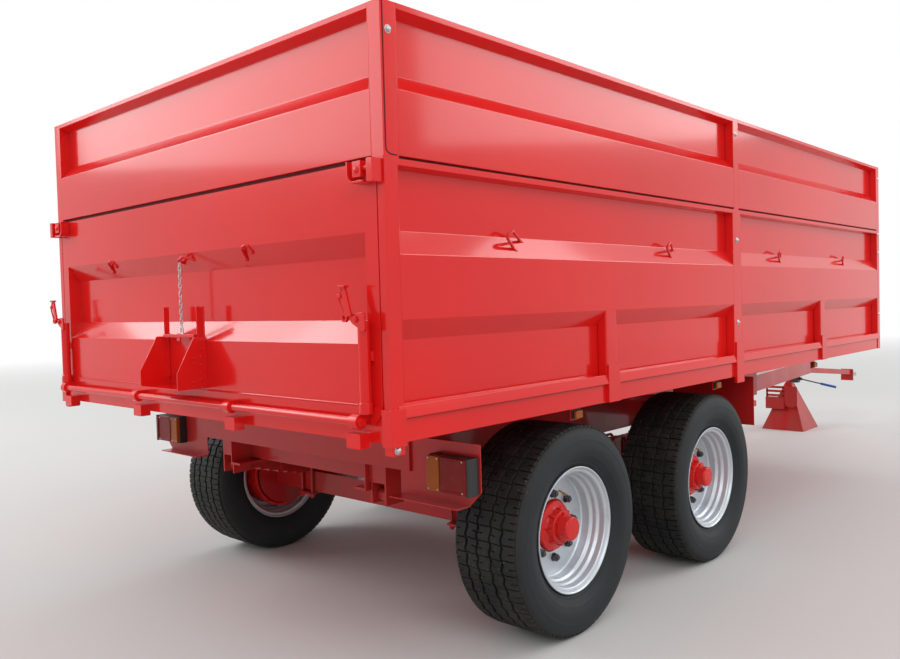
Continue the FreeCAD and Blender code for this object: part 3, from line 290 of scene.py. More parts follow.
def nut(name, place, out, across, tall, stud):
    """A hexagon nut on its washer, with the end of its stud, facing along out."""
    place, out = Vector(place), Vector(out)
    face = out.to_track_quat("Z", "Y").to_euler()
    hexagon = primitive(name, "cylinder", place + out * (tall / 2), vertices=6, depth=tall,
                        radius=across / math.sqrt(3), rotation=face)
    with editing(hexagon):
        pick(hexagon, "faces", lambda side: side.normal.dot(out) > 0.9)
        bpy.ops.mesh.inset(thickness=across * 0.09)
        bpy.ops.transform.translate(value=out * (across * 0.05))
    soften(hexagon, 0.0006)
    collar = turned_out(name + "_stud", [
        (0, tall * 1.45), (stud * 0.85, tall * 1.45), (stud, tall * 1.38), (stud, 0),
        (across * 0.62, 0.001), (across * 0.62, -0.001), (0, -0.001)], place, out, 20)
    return joined(name, [hexagon, smooth(collar, 35)])


def joined(name, pieces):
    """Join pieces into one object."""
    bpy.ops.object.select_all(action="DESELECT")
    for piece in pieces:
        piece.select_set(True)
    bpy.context.view_layer.objects.active = pieces[0]
    if len(pieces) > 1:
        bpy.ops.object.join()
    pieces[0].name = pieces[0].data.name = name
    return pieces[0]


def copied(piece, name, move=(0, 0, 0), flip=None):
    """A copy with its own mesh, moved, and mirrored across an axis if one is given."""
    take(piece)
    bpy.ops.object.duplicate(linked=False)
    twin = bpy.context.object
    twin.name = twin.data.name = name
    if flip is not None:
        scale = [1.0, 1.0, 1.0]
        scale["xyz".index(flip)] = -1.0
        twin.scale = scale
    twin.location = move
    bpy.ops.object.transform_apply(location=True, rotation=True, scale=True)
    if flip is not None:
        with editing(twin):
            pick_all()
            bpy.ops.mesh.normals_make_consistent(inside=False)
    return twin


def fit(piece, body, look, *nodes, slot=None):
    """Hand a finished piece over: its finish, its body and the nodes it stands for; the slot
    argument is not used.
    """
    modify(piece, "WEIGHTED_NORMAL", keep_sharp=True)
    piece.data.materials.clear()
    piece.data.materials.append(bpy.data.materials[look])
    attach(piece, body)
    if nodes:
        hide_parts(*nodes)


def fit_both(piece, name, body, look, *nodes, spots=None):
    """Fit a copy of a right-hand piece on each side at each spot, and drop the piece itself.

    Spots are moves by their names; the nodes go with the right-hand copy at the first spot.
    """
    for spot, move in (spots or {1: (0, 0, 0)}).items():
        for side in SIDES:
            twin = copied(piece, name.format(side=side, spot=spot), move, flip_for(side))
            fit(twin, body, look, *(nodes if side == "right" else ()))
        nodes = ()
    bpy.data.objects.remove(piece)


def ahead_of_rear(*places):
    """Numbered moves to places ahead of the rear corner."""
    return {spot + 1: (REAR_X + x, 0, 0) for spot, x in enumerate(places)}


def flip_for(side):
    """The axis that a right-hand piece is mirrored across for a side."""
    return "y" if side == "left" else None


# --------------------------------------------------------------------------------------
# Finishes
# --------------------------------------------------------------------------------------
class Value:
    """A shader socket; arithmetic on it adds Math nodes."""

    def __init__(self, nodes, socket):
        self.nodes = nodes
        self.socket = socket

    def maths(self, operation, *others):
        values = dict(enumerate((self,) + others))
        return self.nodes.node("Math", {"operation": operation}, values)

    def __add__(self, other):
        return self.maths("ADD", other)

    def __sub__(self, other):
        return self.maths("SUBTRACT", other)

    def __mul__(self, other):
        return self.maths("MULTIPLY", other)

    def __pow__(self, other):
        return self.maths("POWER", other)

    __radd__ = __add__
    __rmul__ = __mul__

    def __rsub__(self, other):
        return self.nodes.node("Math", {"operation": "SUBTRACT"}, {0: other, 1: self})

    def size(self):
        return self.maths("ABSOLUTE")

    def least(self, other):
        return self.maths("MINIMUM", other)

    def most(self, other):
        return self.maths("MAXIMUM", other)

    def wave(self):
        return self.maths("SINE")

    def between(self, start, end):
        """0 below start, 1 above end, and an even rise between; end may be the lower one."""
        return self.nodes.node("MapRange", {}, {"Value": self, "From Min": start, "From Max": end})


class Nodes:
    """The node tree of a material or the world."""

    def __init__(self, owner):
        owner.use_nodes = True
        self.tree = owner.node_tree

    def feed(self, socket, value):
        """Link a value to a socket, or set the socket to it."""
        if isinstance(value, Value):
            self.tree.links.new(value.socket, socket)
        elif hasattr(socket.default_value, "__len__") and len(value) < len(socket.default_value):
            socket.default_value = tuple(value) + (1.0,)
        else:
            socket.default_value = value

    def node(self, kind, settings=None, inputs=None, output=0):
        """Add a shader node by type, with its settings, inputs and wanted output."""
        node = self.tree.nodes.new("ShaderNode" + kind)
        for name, value in (settings or {}).items():
            setattr(node, name, value)
        for name, value in (inputs or {}).items():
            self.feed(node.inputs[name], value)
        return Value(self, node.outputs[output])

    def seen_by(self, *rays):
        """1 for light paths of any of these kinds, and 0 for the others."""
        outputs = self.node("LightPath").socket.node.outputs
        seen = Value(self, outputs["Is %s Ray" % rays[0]])
        for ray in rays[1:]:
            seen = seen.most(Value(self, outputs["Is %s Ray" % ray]))
        return seen


class Finish(Nodes):
    """One material around its Principled shader."""

    def __init__(self, name, **constants):
        self.material = bpy.data.materials.new(name)
        super().__init__(self.material)
        self.shader = self.tree.nodes["Principled BSDF"]
        self.wears(**constants)

    def wears(self, **values):
        """Feed the shader's own sockets."""
        for socket, value in values.items():
            self.feed(self.shader.inputs[socket.replace("_", " ")], value)

    def spot(self, scale=(1.0, 1.0, 1.0)):
        """Object coordinates, stretched."""
        place = self.node("TexCoord", output="Object")
        return self.node("Mapping", {}, {"Vector": place, "Scale": scale})

    def axes(self):
        """Object coordinates as three numbers."""
        place = self.node("TexCoord", output="Object")
        split = self.node("SeparateXYZ", {}, {0: place}).socket.node
        return [Value(self, socket) for socket in split.outputs]

    def noise(self, scale, detail=3.0, stretch=(1.0, 1.0, 1.0), roughness=0.5):
        inputs = {"Vector": self.spot(stretch), "Scale": scale, "Detail": detail,
                  "Roughness": roughness}
        return self.node("TexNoise", {}, inputs, output="Fac")

    def cells(self, scale, output="Distance"):
        return self.node("TexVoronoi", {"feature": "F1"},
                         {"Vector": self.spot(), "Scale": scale}, output=output)

    def blend(self, factor, first, second):
        """Mix two colours."""
        return self.node("Mix", {"data_type": "RGBA"}, {0: factor, 6: first, 7: second}, output=2)

    def bump(self, height, distance, under=None):
        """A bump of a real height in metres, on top of another one if given."""
        inputs = {"Height": height, "Distance": distance, "Strength": 1.0}
        if under is not None:
            inputs["Normal"] = under
        return self.node("Bump", {}, inputs)


def shade_of(colour, share):
    """A colour made darker or paler by a share."""
    return tuple(part * share for part in colour)


def paint_finish(name, colour, gloss, wave, dirt_top, dirt_bottom, dirt_most):
    """Sprayed enamel: orange peel, slight sheet waviness, and road film towards the ground."""
    finish = Finish(name, IOR=1.5, Specular_IOR_Level=0.12, Coat_Roughness=0.08, Coat_IOR=1.5)
    height = finish.axes()[2]
    drift = finish.noise(0.9, 2.0)
    speck = finish.noise(46.0, 5.0, roughness=0.7)
    streak = finish.noise(5.0, 4.0, stretch=(1.0, 1.0, 0.22))
    film = height.between(dirt_top, dirt_bottom) * streak.between(0.35, 0.75) * dirt_most
    dust = (film + speck.between(0.62, 0.8) * 0.07).least(1.0)
    base = finish.blend(drift.between(0.3, 0.7), shade_of(colour, 0.93), shade_of(colour, 1.05))
    base = finish.blend(dust, base, (0.16, 0.115, 0.085))
    grain = finish.bump(finish.noise(190.0, 2.0), 0.00006)
    ripple = finish.bump(finish.noise(2.3, 1.5, stretch=(1.0, 1.0, 1.6)), wave, under=grain)
    rough = (gloss + finish.noise(7.0, 3.0) * 0.1 + dust * 0.45).least(1.0)
    finish.wears(Base_Color=base, Roughness=rough, Normal=ripple,
                 Coat_Weight=(0.45 - dust * 0.45).most(0.0))


def rubber_finish(name):
    """Tyre rubber: blacker and dusty on the tread, with a grey bloom on the walls."""
    finish = Finish(name, IOR=1.5, Specular_IOR_Level=0.3)
    x, z = finish.axes()[::2]
    reach = (x - AXLES["rear"]).size().least((x - AXLES["front"]).size())
    radius = (reach ** 2.0 + (z - AXLE_Z) ** 2.0) ** 0.5
    tread = radius.between(0.435, 0.452)
    blotch = finish.noise(9.0, 5.0, roughness=0.65)
    fine = finish.noise(140.0, 4.0, roughness=0.7)
    bloom = (1 - tread) * (0.45 + blotch * 0.5)
    base = finish.blend(bloom.least(1.0), (0.007, 0.008, 0.009), (0.020, 0.026, 0.029))
    dust = (blotch.between(0.42, 0.72) * tread * 0.55
            + radius.between(0.468, 0.456) * tread * 0.3).least(1.0)
    base = finish.blend(dust, base, (0.042, 0.039, 0.033))
    crumbs = (finish.cells(46.0).between(0.17, 0.1) * finish.noise(6.0, 3.0).between(0.52, 0.6)
              * tread)
    base = finish.blend(crumbs, base, (0.10, 0.10, 0.035))
    lines = (radius * 2100.0).wave() * 0.5 + 0.5
    ridge = finish.bump(lines * (1 - tread), 0.00025)
    grain = finish.bump(fine, 0.0004, under=ridge)
    finish.wears(Base_Color=base, Roughness=0.52 + fine * 0.2 + dust * 0.2, Normal=grain)


def silver_finish(name):
    """Wheel enamel with aluminium flake, a little brake dust and water marks."""
    finish = Finish(name, Metallic=0.55, IOR=1.5)
    flake = finish.cells(900.0, output="Color")
    marks = finish.noise(16.0, 4.0, roughness=0.6)
    base = finish.blend(flake * 0.5, (0.54, 0.58, 0.62), (0.70, 0.75, 0.80))
    base = finish.blend(marks.between(0.56, 0.8) * 0.35, base, (0.30, 0.28, 0.25))
    peel = finish.bump(finish.noise(260.0, 2.0), 0.00008)
    finish.wears(Base_Color=base, Roughness=0.33 + marks * 0.16, Normal=peel,
                 Coat_Weight=0.3, Coat_Roughness=0.12)


def zinc_finish(name, bright, dark, rough):
    """Plated or galvanised steel with spangle and dull patches."""
    finish = Finish(name, Metallic=1.0)
    spangle = finish.cells(260.0, output="Color")
    patch = finish.noise(60.0, 4.0, roughness=0.65)
    base = finish.blend(spangle * 0.6, dark, bright)
    base = finish.blend(patch.between(0.55, 0.75) * 0.5, base, shade_of(dark, 0.5))
    scratch = finish.bump(finish.noise(420.0, 2.0, stretch=(1.0, 1.0, 0.1)), 0.00005)
    finish.wears(Base_Color=base, Roughness=rough + patch * 0.25, Normal=scratch)


def chrome_finish(name):
    """Ground and chromed ram tube with faint rings and wiped oil."""
    finish = Finish(name, Metallic=1.0)
    oil = finish.noise(20.0, 3.0, stretch=(1.0, 1.0, 0.15))
    rings = finish.bump(finish.noise(900.0, 1.0, stretch=(0.02, 0.02, 1.0)), 0.00002)
    base = finish.blend(oil.between(0.5, 0.75) * 0.4, (0.74, 0.75, 0.77), (0.35, 0.31, 0.26))
    finish.wears(Base_Color=base, Roughness=0.1 + oil * 0.14, Normal=rings)


def lens_finish(name, colour):
    """Moulded lamp lens with fine prisms and a clouded skin."""
    finish = Finish(name, IOR=1.49, Specular_IOR_Level=0.1, Coat_Weight=0.2, Coat_Roughness=0.08)
    y, z = finish.axes()[1:]
    prism = ((y * 1250.0).wave() * (z * 1250.0).wave()) * 0.5 + 0.5
    cloud = finish.noise(22.0, 4.0)
    base = finish.blend(prism * 0.6, shade_of(colour, 0.45), colour)
    base = finish.blend(cloud.between(0.5, 0.8) * 0.3, base, (0.22, 0.06, 0.01))
    finish.wears(Base_Color=base, Roughness=0.14 + cloud * 0.2, Normal=finish.bump(prism, 0.0004))


def plastic_finish(name, colour, rough):
    """Moulded plastic or rubber grip with a fine grain."""
    finish = Finish(name, IOR=1.5)
    grain = finish.noise(320.0, 3.0, roughness=0.7)
    wear = finish.noise(30.0, 4.0)
    base = finish.blend(wear.between(0.45, 0.8) * 0.5, colour, shade_of(colour, 1.9))
    finish.wears(Base_Color=base, Roughness=rough + grain * 0.2, Normal=finish.bump(grain, 0.0002))


# --------------------------------------------------------------------------------------
# What a user would change
# --------------------------------------------------------------------------------------
def length(name, description, default):
    """A length in metres that a user can set."""
    return bpy.props.FloatProperty(name=name, description=description, default=default,
                                   min=0.0, unit="LENGTH", precision=4)


def colour(name, description, default):
    """A colour that a user can set."""
    return bpy.props.FloatVectorProperty(name=name, description=description, default=default,
                                         size=3, min=0.0, max=1.0, subtype="COLOR")


def count(name, description, default):
    """A whole number that a user can set."""
    return bpy.props.IntProperty(name=name, description=description, default=default, min=1)


def angle(name, description, default):
    """An angle that a user can set; its default is in degrees."""
    return bpy.props.FloatProperty(name=name, description=description, unit="ROTATION",
                                   subtype="ANGLE", default=math.radians(default))


class TrailerColours(bpy.types.PropertyGroup):
    """Colours of the enamels, lenses, grip and floor"""
    body: colour("Body", "Enamel of the load body and the hubs", (0.74, 0.011, 0.010))
    # The chassis red is darker than the body red: painted shade for the chassis in the shadow under
    # the body.
    chassis: colour("Chassis", "Enamel of the chassis", (0.50, 0.012, 0.014))
    # The lens colours are set dark: partly the lenses' own deep tint, partly painted shade of the
    # lamps under the body.
    amber: colour("Amber", "Turn and side lamps", (0.55, 0.13, 0.006))
    ruby: colour("Ruby", "Stop and tail lamps", (0.30, 0.006, 0.004))
    grip: colour("Grip", "Valve lever grip", (0.02, 0.10, 0.42))
    floor: colour("Floor", "Studio floor", (0.66, 0.66, 0.65))


class TrailerSizes(bpy.types.PropertyGroup):
    """Sizes and numbers of the fittings"""
    fold: length("Fold", "Outer radius of the pressed folds", 0.007)
    edge: length("Edge", "Rounding of cut edges", 0.0012)
    tread_depth: length("Tread depth", "Depth of the tyre grooves", 0.013)
    tread_pitches: count("Tread pitches", "Block rows round a tyre", 46)
    nut: length("Wheel nut", "Half the width across a wheel nut's flats", 0.016)
    studs: count("Studs", "Wheel nuts in each hub", 8)
    stud_circle: length("Stud circle", "Radius of the stud circle", 0.1455)
    bolt: length("Body bolt", "Radius of the body bolts' heads", 0.011)
    hook_rod: length("Rope hook", "Radius of the rope hooks' rod", 0.006)
    weld: length("Weld", "Radius of a weld bead", 0.0032)
    links: count("Links", "Links in the hatch chain", 15)
    leaves: count("Leaves", "Leaves in each spring", 8)


class TrailerView(bpy.types.PropertyGroup):
    """The lens, and where the camera stands and looks"""
    lens: bpy.props.FloatProperty(name="Lens", description="Focal length on a 36 mm sensor",
                                  default=33.03, min=10.0, subtype="DISTANCE_CAMERA")
    place: bpy.props.FloatVectorProperty(name="Camera", description="Where the camera stands",
                                         size=3, unit="LENGTH", subtype="TRANSLATION",
                                         default=(-6.3625, -3.3113, 1.4917))
    yaw: angle("Yaw", "Heading of the view, from ahead towards the left", 42.7314)
    pitch: angle("Pitch", "Climb of the view", -1.8748)
    roll: angle("Roll", "Lean of the camera", -1.5568)


BODY_OF = {node: body for body, nodes in frame["record"]["behaviour"]["bodies"].items()
           for node in nodes}
SLOT_OF = {node: piece.data.materials[0].name for node, piece in frame["nodes"].items()}
# The frame's slot for each finish; a slot's first finish is the one that its frame nodes wear.
SLOT_OF_LOOK = {"body enamel": "red_paint", "chassis enamel": "chassis_paint",
                "hub enamel": "chassis_paint", "wheel silver": "rim_silver",
                "tyre rubber": "tyre_rubber", "zinc plate": "zinc", "dark steel": "zinc",
                "brass": "zinc", "lever grip": "zinc", "joint shadow": "zinc",
                "ram chrome": "ram_chrome", "amber lens": "lamp_lens", "ruby lens": "lamp_lens",
                "lamp housing": "lamp_lens"}


def look_of(node):
    """The finish that a frame node wears."""
    return next(look for look, slot in SLOT_OF_LOOK.items() if slot == SLOT_OF[node])


# Frame nodes that are pressed from sheet, and those that are cut, welded and dressed.
PRESSED = ("side_panels_left", "side_panels_right", "extension_left", "extension_right",
           "extension_front", "extension_rear", "headboard", "tailgate", "side_ribs")
DRESSED = ("lower_posts", "extension_posts", "stake_pockets", "side_floor_rails",
           "end_floor_rails", "hatch_chute", "hatch_slide", "light_boards", "mud_plates",
           "rear_board", "chassis_rails", "cross_members", "drawbar_legs", "drawbar_pole",
           "stand_leg", "stand_bracket", "body_runners", "floor_bearers", "tip_plates",
           "tip_lugs", "ram_bracket", "ram_cradle", "gate_lugs", "gate_ears", "lock_rod",
           "spring_hangers", "equalisers", "axles")


class TRAILER_OT_finishes(bpy.types.Operator):
    """Mix the enamel, rubber, metal and lens finishes"""
    bl_idname = "trailer.finishes"
    bl_label = "Finishes"

    def execute(self, context):
        colours = context.scene.trailer_colours
        paint_finish("body enamel", colours.body, gloss=0.13, wave=0.0011, dirt_top=0.95,
                     dirt_bottom=0.3, dirt_most=0.3)
        # Its darker red is painted shade under the body; the road film is dirt.
        paint_finish("chassis enamel", colours.chassis, gloss=0.24, wave=0.0006, dirt_top=1.15,
                     dirt_bottom=0.2, dirt_most=0.55)
        paint_finish("hub enamel", colours.body, gloss=0.2, wave=0.0003, dirt_top=0.62,
                     dirt_bottom=0.1, dirt_most=0.3)
        rubber_finish("tyre rubber")
        silver_finish("wheel silver")
        zinc_finish("zinc plate", bright=(0.66, 0.67, 0.69), dark=(0.42, 0.43, 0.45), rough=0.28)
        zinc_finish("dark steel", bright=(0.20, 0.20, 0.21), dark=(0.07, 0.07, 0.075), rough=0.38)
        zinc_finish("brass", bright=(0.78, 0.62, 0.30), dark=(0.52, 0.38, 0.16), rough=0.25)
        chrome_finish("ram chrome")
        lens_finish("amber lens", colours.amber)
        lens_finish("ruby lens", colours.ruby)
        plastic_finish("lamp housing", (0.012, 0.012, 0.013), rough=0.42)
        plastic_finish("lever grip", colours.grip, rough=0.36)
        plastic_finish("joint shadow", (0.10, 0.004, 0.007), rough=0.7)
        return {"FINISHED"}


class TRAILER_OT_pressings(bpy.types.Operator):
    """Round the folds and the cut edges of the body's sheet and bars"""
    bl_idname = "trailer.pressings"
    bl_label = "Panels, posts and bars"

    def execute(self, context):
        sizes = context.scene.trailer_sizes
        for node in PRESSED + DRESSED:
            if node.endswith("_right"):
                twin = bpy.data.objects[node.replace("_right", "_left") + "_dressed"]
                piece = copied(twin, node + "_dressed", flip="y")
            else:
                piece = dressed_copy(node, sizes.fold if node in PRESSED else 0.0, sizes.edge)
            fit(piece, BODY_OF[node], look_of(node), node)
        return {"FINISHED"}


def dressed_copy(node, fold, edge):
    """A merged copy of a frame node, with rounded folds and edges."""
    take(frame["nodes"][node])
    bpy.ops.object.duplicate(linked=False)
    piece = bpy.context.object
    bpy.ops.object.parent_clear(type="CLEAR_KEEP_TRANSFORM")
    for key in list(piece.keys()):
        del piece[key]
    piece.name = piece.data.name = node + "_dressed"
    bpy.ops.mesh.customdata_custom_splitnormals_clear()
    with editing(piece):
        pick_all()
        bpy.ops.mesh.remove_doubles(threshold=MERGE_GAP)
        bpy.ops.mesh.dissolve_limited(angle_limit=math.radians(1.0))
        if fold:
            pick(piece, "edges", lambda item: is_fold(item, fold))
            bpy.ops.mesh.bevel(offset=fold, segments=3, profile=0.5, clamp_overlap=True)
    modify(piece, "BEVEL", width=edge, segments=2, limit_method="ANGLE",
           angle_limit=math.radians(40))
    return smooth(piece, 32)


# A pressed fold is at least this long and this sharp, and its strips this many radii wide.
FOLD_RUN, FOLD_ANGLE, FOLD_ROOM = 0.2, math.radians(8), 2.4


def is_fold(edge, fold):
    """Whether an edge is a long bend between two strips wide enough for its radius."""
    run = edge.calc_length()
    if run < FOLD_RUN or len(edge.link_faces) != 2 or edge.calc_face_angle() < FOLD_ANGLE:
        return False
    return min(face.calc_area() / run for face in edge.link_faces) > FOLD_ROOM * fold


class TRAILER_OT_plain_nodes(bpy.types.Operator):
    """Give the frame nodes that stay their finish"""
    bl_idname = "trailer.plain_nodes"
    bl_label = "Other frame pieces"

    def execute(self, context):
        for node, piece in frame["nodes"].items():
            piece.data.materials[0] = bpy.data.materials[look_of(node)]
        return {"FINISHED"}


# The cross section of half a tyre wall: radius, and distance from the wheel's middle.
TYRE_WALL = [(0.266, 0.118), (0.268, 0.130), (0.280, 0.138), (0.290, 0.1425), (0.297, 0.149),
             (0.302, 0.150), (0.306, 0.1535), (0.316, 0.1605), (0.328, 0.168), (0.331, 0.1705),
             (0.335, 0.171), (0.345, 0.1755), (0.358, 0.179), (0.372, 0.181), (0.388, 0.181),
             (0.400, 0.1803), (0.403, 0.1812), (0.406, 0.1800), (0.418, 0.1785), (0.431, 0.1755),
             (0.442, 0.171), (0.449, 0.167), (0.454, 0.161)]
# Tread blocks of one pitch: share of the pitch along the tread, and distance across in metres.
SHOULDER_BLOCK = [(.05, .101), (.25, .106), (.50, .101), (.75, .096), (.95, .100), (.95, .158),
                  (.57, .158), (.57, .131), (.50, .131), (.50, .158), (.05, .158)]
MIDDLE_BLOCK = [(.03, .0416), (.25, .046), (.47, .0416), (.53, .062), (.59, .062), (.53, .0404),
                (.75, .036), (.97, .0404), (1.05, .090), (1.0, .089), (.75, .084), (.50, .089),
                (.25, .094), (.11, .0912)]
CENTRE_BLOCK = [(.03, -.0284), (.25, -.024), (.50, -.029), (.75, -.034), (.97, -.0296),
                (.97, .0284), (.75, .024), (.55, .028), (.55, .006), (.48, .006), (.48, .0294),
                (.25, .034), (.03, .0296)]


class TRAILER_OT_tyres(bpy.types.Operator):
    """Mould a tyre with chunky blocks between zigzag grooves, and copy it to each wheel"""
    bl_idname = "trailer.tyres"
    bl_label = "Tyres"

    def execute(self, context):
        sizes = context.scene.trailer_sizes
        crown = AXLE_Z - 0.0003
        base = crown - sizes.tread_depth
        deep = [(min(radius, base), out) for radius, out in TYRE_WALL]
        profile = deep + [(base, 0.156), (base, -0.156)] + mirrored(deep)
        tyre = turned("tyre", profile, RIGHT_WHEEL, steps=120)
        outlines = [CENTRE_BLOCK]
        for outline in (SHOULDER_BLOCK, MIDDLE_BLOCK):
            outlines += [outline, [(1 - share, -across) for share, across in outline]]
        pitch = TURN / sizes.tread_pitches
        blocks = [tread_block(pitch, base - 0.003, crown, outline) for outline in outlines]
        tread = modify(joined("tread", blocks), "BEVEL", width=0.0014, segments=1,
                       limit_method="ANGLE", angle_limit=math.radians(50))
        ring_of(tread, sizes.tread_pitches)
        tyre = smooth(joined("tyre", [tyre, tread]), 28)
        to_each_wheel(tyre, "tyre", "tyre rubber", replaces=True)
        return {"FINISHED"}


def tread_block(pitch, base, crown, outline):
    """One tread block, pushed out from the casing to the tread's crown."""
    points = []
    for share, across in outline:
        spin = Matrix.Rotation(share * pitch, 3, "Y")
        points.append(RIGHT_WHEEL + spin @ Vector((0, across, base)))
    piece = drawn("tread_block", points + [points[0]])
    grown = crown / base
    with editing(piece):
        fill_line()
        push((0, 0, 0))
        bpy.ops.transform.resize(value=(grown, 1, grown), center_override=RIGHT_WHEEL)
        pick(piece, "verts", lambda spot: abs(spot.co.y - RIGHT_WHEEL.y) > 0.15
             and (spot.co - RIGHT_WHEEL).length > (base + crown) / 2)
        bpy.ops.transform.resize(value=(0.9915, 1, 0.9915), center_override=RIGHT_WHEEL)
        tidy_mesh()
    return piece


def mirrored(outline):
    """A half outline's other half, from where it ends back to its start."""
    return [(radius, -out) for radius, out in reversed(outline)]


def to_axle(axle):
    """The move from the rear axle to an axle."""
    return Vector((AXLES[axle] - AXLES["rear"], 0, 0))


def to_each_wheel(piece, name, look, replaces=False):
    """Copy a piece made on the right rear wheel to all four, mirrored for the left side."""
    for side in SIDES:
        for axle in AXLES:
            wheel = "%s_%s" % (side, axle)
            node = "%s_%s" % (name, wheel)
            twin = copied(piece, node + "_looks", to_axle(axle), flip_for(side))
            fit(twin, BODY_OF["hub_" + wheel], look, *([node] if replaces else []))
    bpy.data.objects.remove(piece)


# Half a rim's section: the inner face from the lip to the well, then the tyre side back again.
RIM_FACE = [(0.2765, 0.1500), (0.2725, 0.1480), (0.2700, 0.1430), (0.2680, 0.1385),
            (0.2580, 0.1365), (0.2545, 0.1330), (0.2530, 0.1280), (0.2530, 0.1080),
            (0.2510, 0.1035), (0.2460, 0.0990), (0.2425, 0.0940), (0.2415, 0.0890),
            (0.2415, 0.0780), (0.2395, 0.0730), (0.2330, 0.0690), (0.2290, 0.0650),
            (0.2270, 0.0590)]
RIM_BACK = [(0.2350, 0.0600), (0.2390, 0.0690), (0.2480, 0.0780), (0.2490, 0.0900),
            (0.2550, 0.0980), (0.2615, 0.1040), (0.2620, 0.1300), (0.2650, 0.1360),
            (0.2740, 0.1400), (0.2795, 0.1420), (0.2810, 0.1460), (0.2800, 0.1490)]
# The rim's disc, and the weld that holds it.
RIM_DISC = [(0.230, 0.006), (0.230, 0.0185), (0.222, 0.0205), (0.216, 0.0195), (0.206, 0.0200),
            (0.123, 0.0200), (0.120, 0.0180), (0.120, 0.0075), (0.1215, 0.0060)]
RIM_WELD = [(0.2280, 0.0280), (0.2255, 0.0262), (0.2215, 0.0222), (0.2200, 0.0190),
            (0.2280, 0.0170)]


class TRAILER_OT_rims(bpy.types.Operator):
    """Roll a stepped rim with its lip, disc, weld and valve, and copy it to each wheel"""
    bl_idname = "trailer.rims"
    bl_label = "Rims"

    def execute(self, context):
        outlines = {"rim": RIM_FACE + mirrored(RIM_FACE) + mirrored(RIM_BACK) + RIM_BACK,
                    "disc": RIM_DISC, "disc_weld": RIM_WELD}
        rings = [turned_out(name, outline, RIGHT_WHEEL, TO_RIGHT, 120, closed=True)
                 for name, outline in outlines.items()]
        to_each_wheel(smooth(joined("rim", rings), 42), "rim", "wheel silver", replaces=True)
        lean = math.radians(19)
        foot = RIGHT_WHEEL + Vector((math.sin(lean) * 0.160, -0.016, math.cos(lean) * 0.160))
        tip = foot + Vector((0.004, -0.034, -0.016))
        stem = rod("valve", 0.0048, [foot, foot + (tip - foot) * 0.5, tip], bend=0.004, sides=14)
        cap = rod("valve_cap", 0.0062, [foot + (tip - foot) * 0.72, tip,
                                        tip + (tip - foot) * 0.12], bend=0.004, sides=14)
        to_each_wheel(joined("valve", [stem, cap]), "valve", "brass")
        return {"FINISHED"}


# The hub's outline, from its cap round the drum: radius, and distance out from the middle.
HUB_FACE = [(0.0, 0.1300), (0.046, 0.1300), (0.0505, 0.1285), (0.0535, 0.1245), (0.0545, 0.1190),
            (0.0550, 0.1000), (0.0560, 0.0900), (0.0600, 0.0895), (0.0605, 0.0880),
            (0.0600, 0.0850), (0.0560, 0.0845), (0.0560, 0.0780), (0.0720, 0.0775),
            (0.0745, 0.0755), (0.0760, 0.0710), (0.0775, 0.0520), (0.0810, 0.0440),
            (0.0880, 0.0390), (0.1020, 0.0355), (0.1090, 0.0335), (0.1115, 0.0300),
            (0.1120, 0.0060), (0.1900, 0.0060), (0.2030, -0.0100), (0.2050, -0.0120),
            (0.2050, -0.0500), (0.2035, -0.0520), (0.2035, -0.0640), (0.2050, -0.0660),
            (0.2050, -0.1590), (0.2040, -0.1600), (0.1915, -0.1600), (0.1910, -0.1590),
            (0.1910, -0.0260), (0.0900, -0.0240), (0.0900, -0.1590), (0.0885, -0.1600),
            (0.0460, -0.1600), (0.0460, 0.0), (0.0, 0.0)]


class TRAILER_OT_hubs(bpy.types.Operator):
    """Cast a hub with its cap, clip ring, flange and drum, and bolt it on"""
    bl_idname = "trailer.hubs"
    bl_label = "Hubs and wheel nuts"

    def execute(self, context):
        sizes = context.scene.trailer_sizes
        hub = turned_out("hub", HUB_FACE, RIGHT_WHEEL, TO_RIGHT, 72)
        rib = block("hub_rib", RIGHT_WHEEL + Vector((-0.006, -0.0700, 0.070)),
                    RIGHT_WHEEL + Vector((0.006, -0.0350, 0.086)), 0.0025)
        ring_of(rib, sizes.studs)
        screw = nut("hub_screw", RIGHT_WHEEL + Vector((0, -0.0772, 0.065)), TO_RIGHT, 0.010, 0.005,
                    0.002)
        ring_of(screw, 6)
        to_each_wheel(smooth(joined("hub", [hub, screw, rib]), 38), "hub", "hub enamel",
                      replaces=True)
        place = RIGHT_WHEEL + Vector((0, -0.0200, sizes.stud_circle))
        nuts = nut("wheel_nuts", place, TO_RIGHT, 2 * sizes.nut, sizes.nut * 1.25, 0.0105)
        ring_of(nuts, sizes.studs)
        to_each_wheel(nuts, "wheel_nuts", "dark steel")
        return {"FINISHED"}


# Width of a tail lamp cluster.
LAMP_WIDTH = 0.229


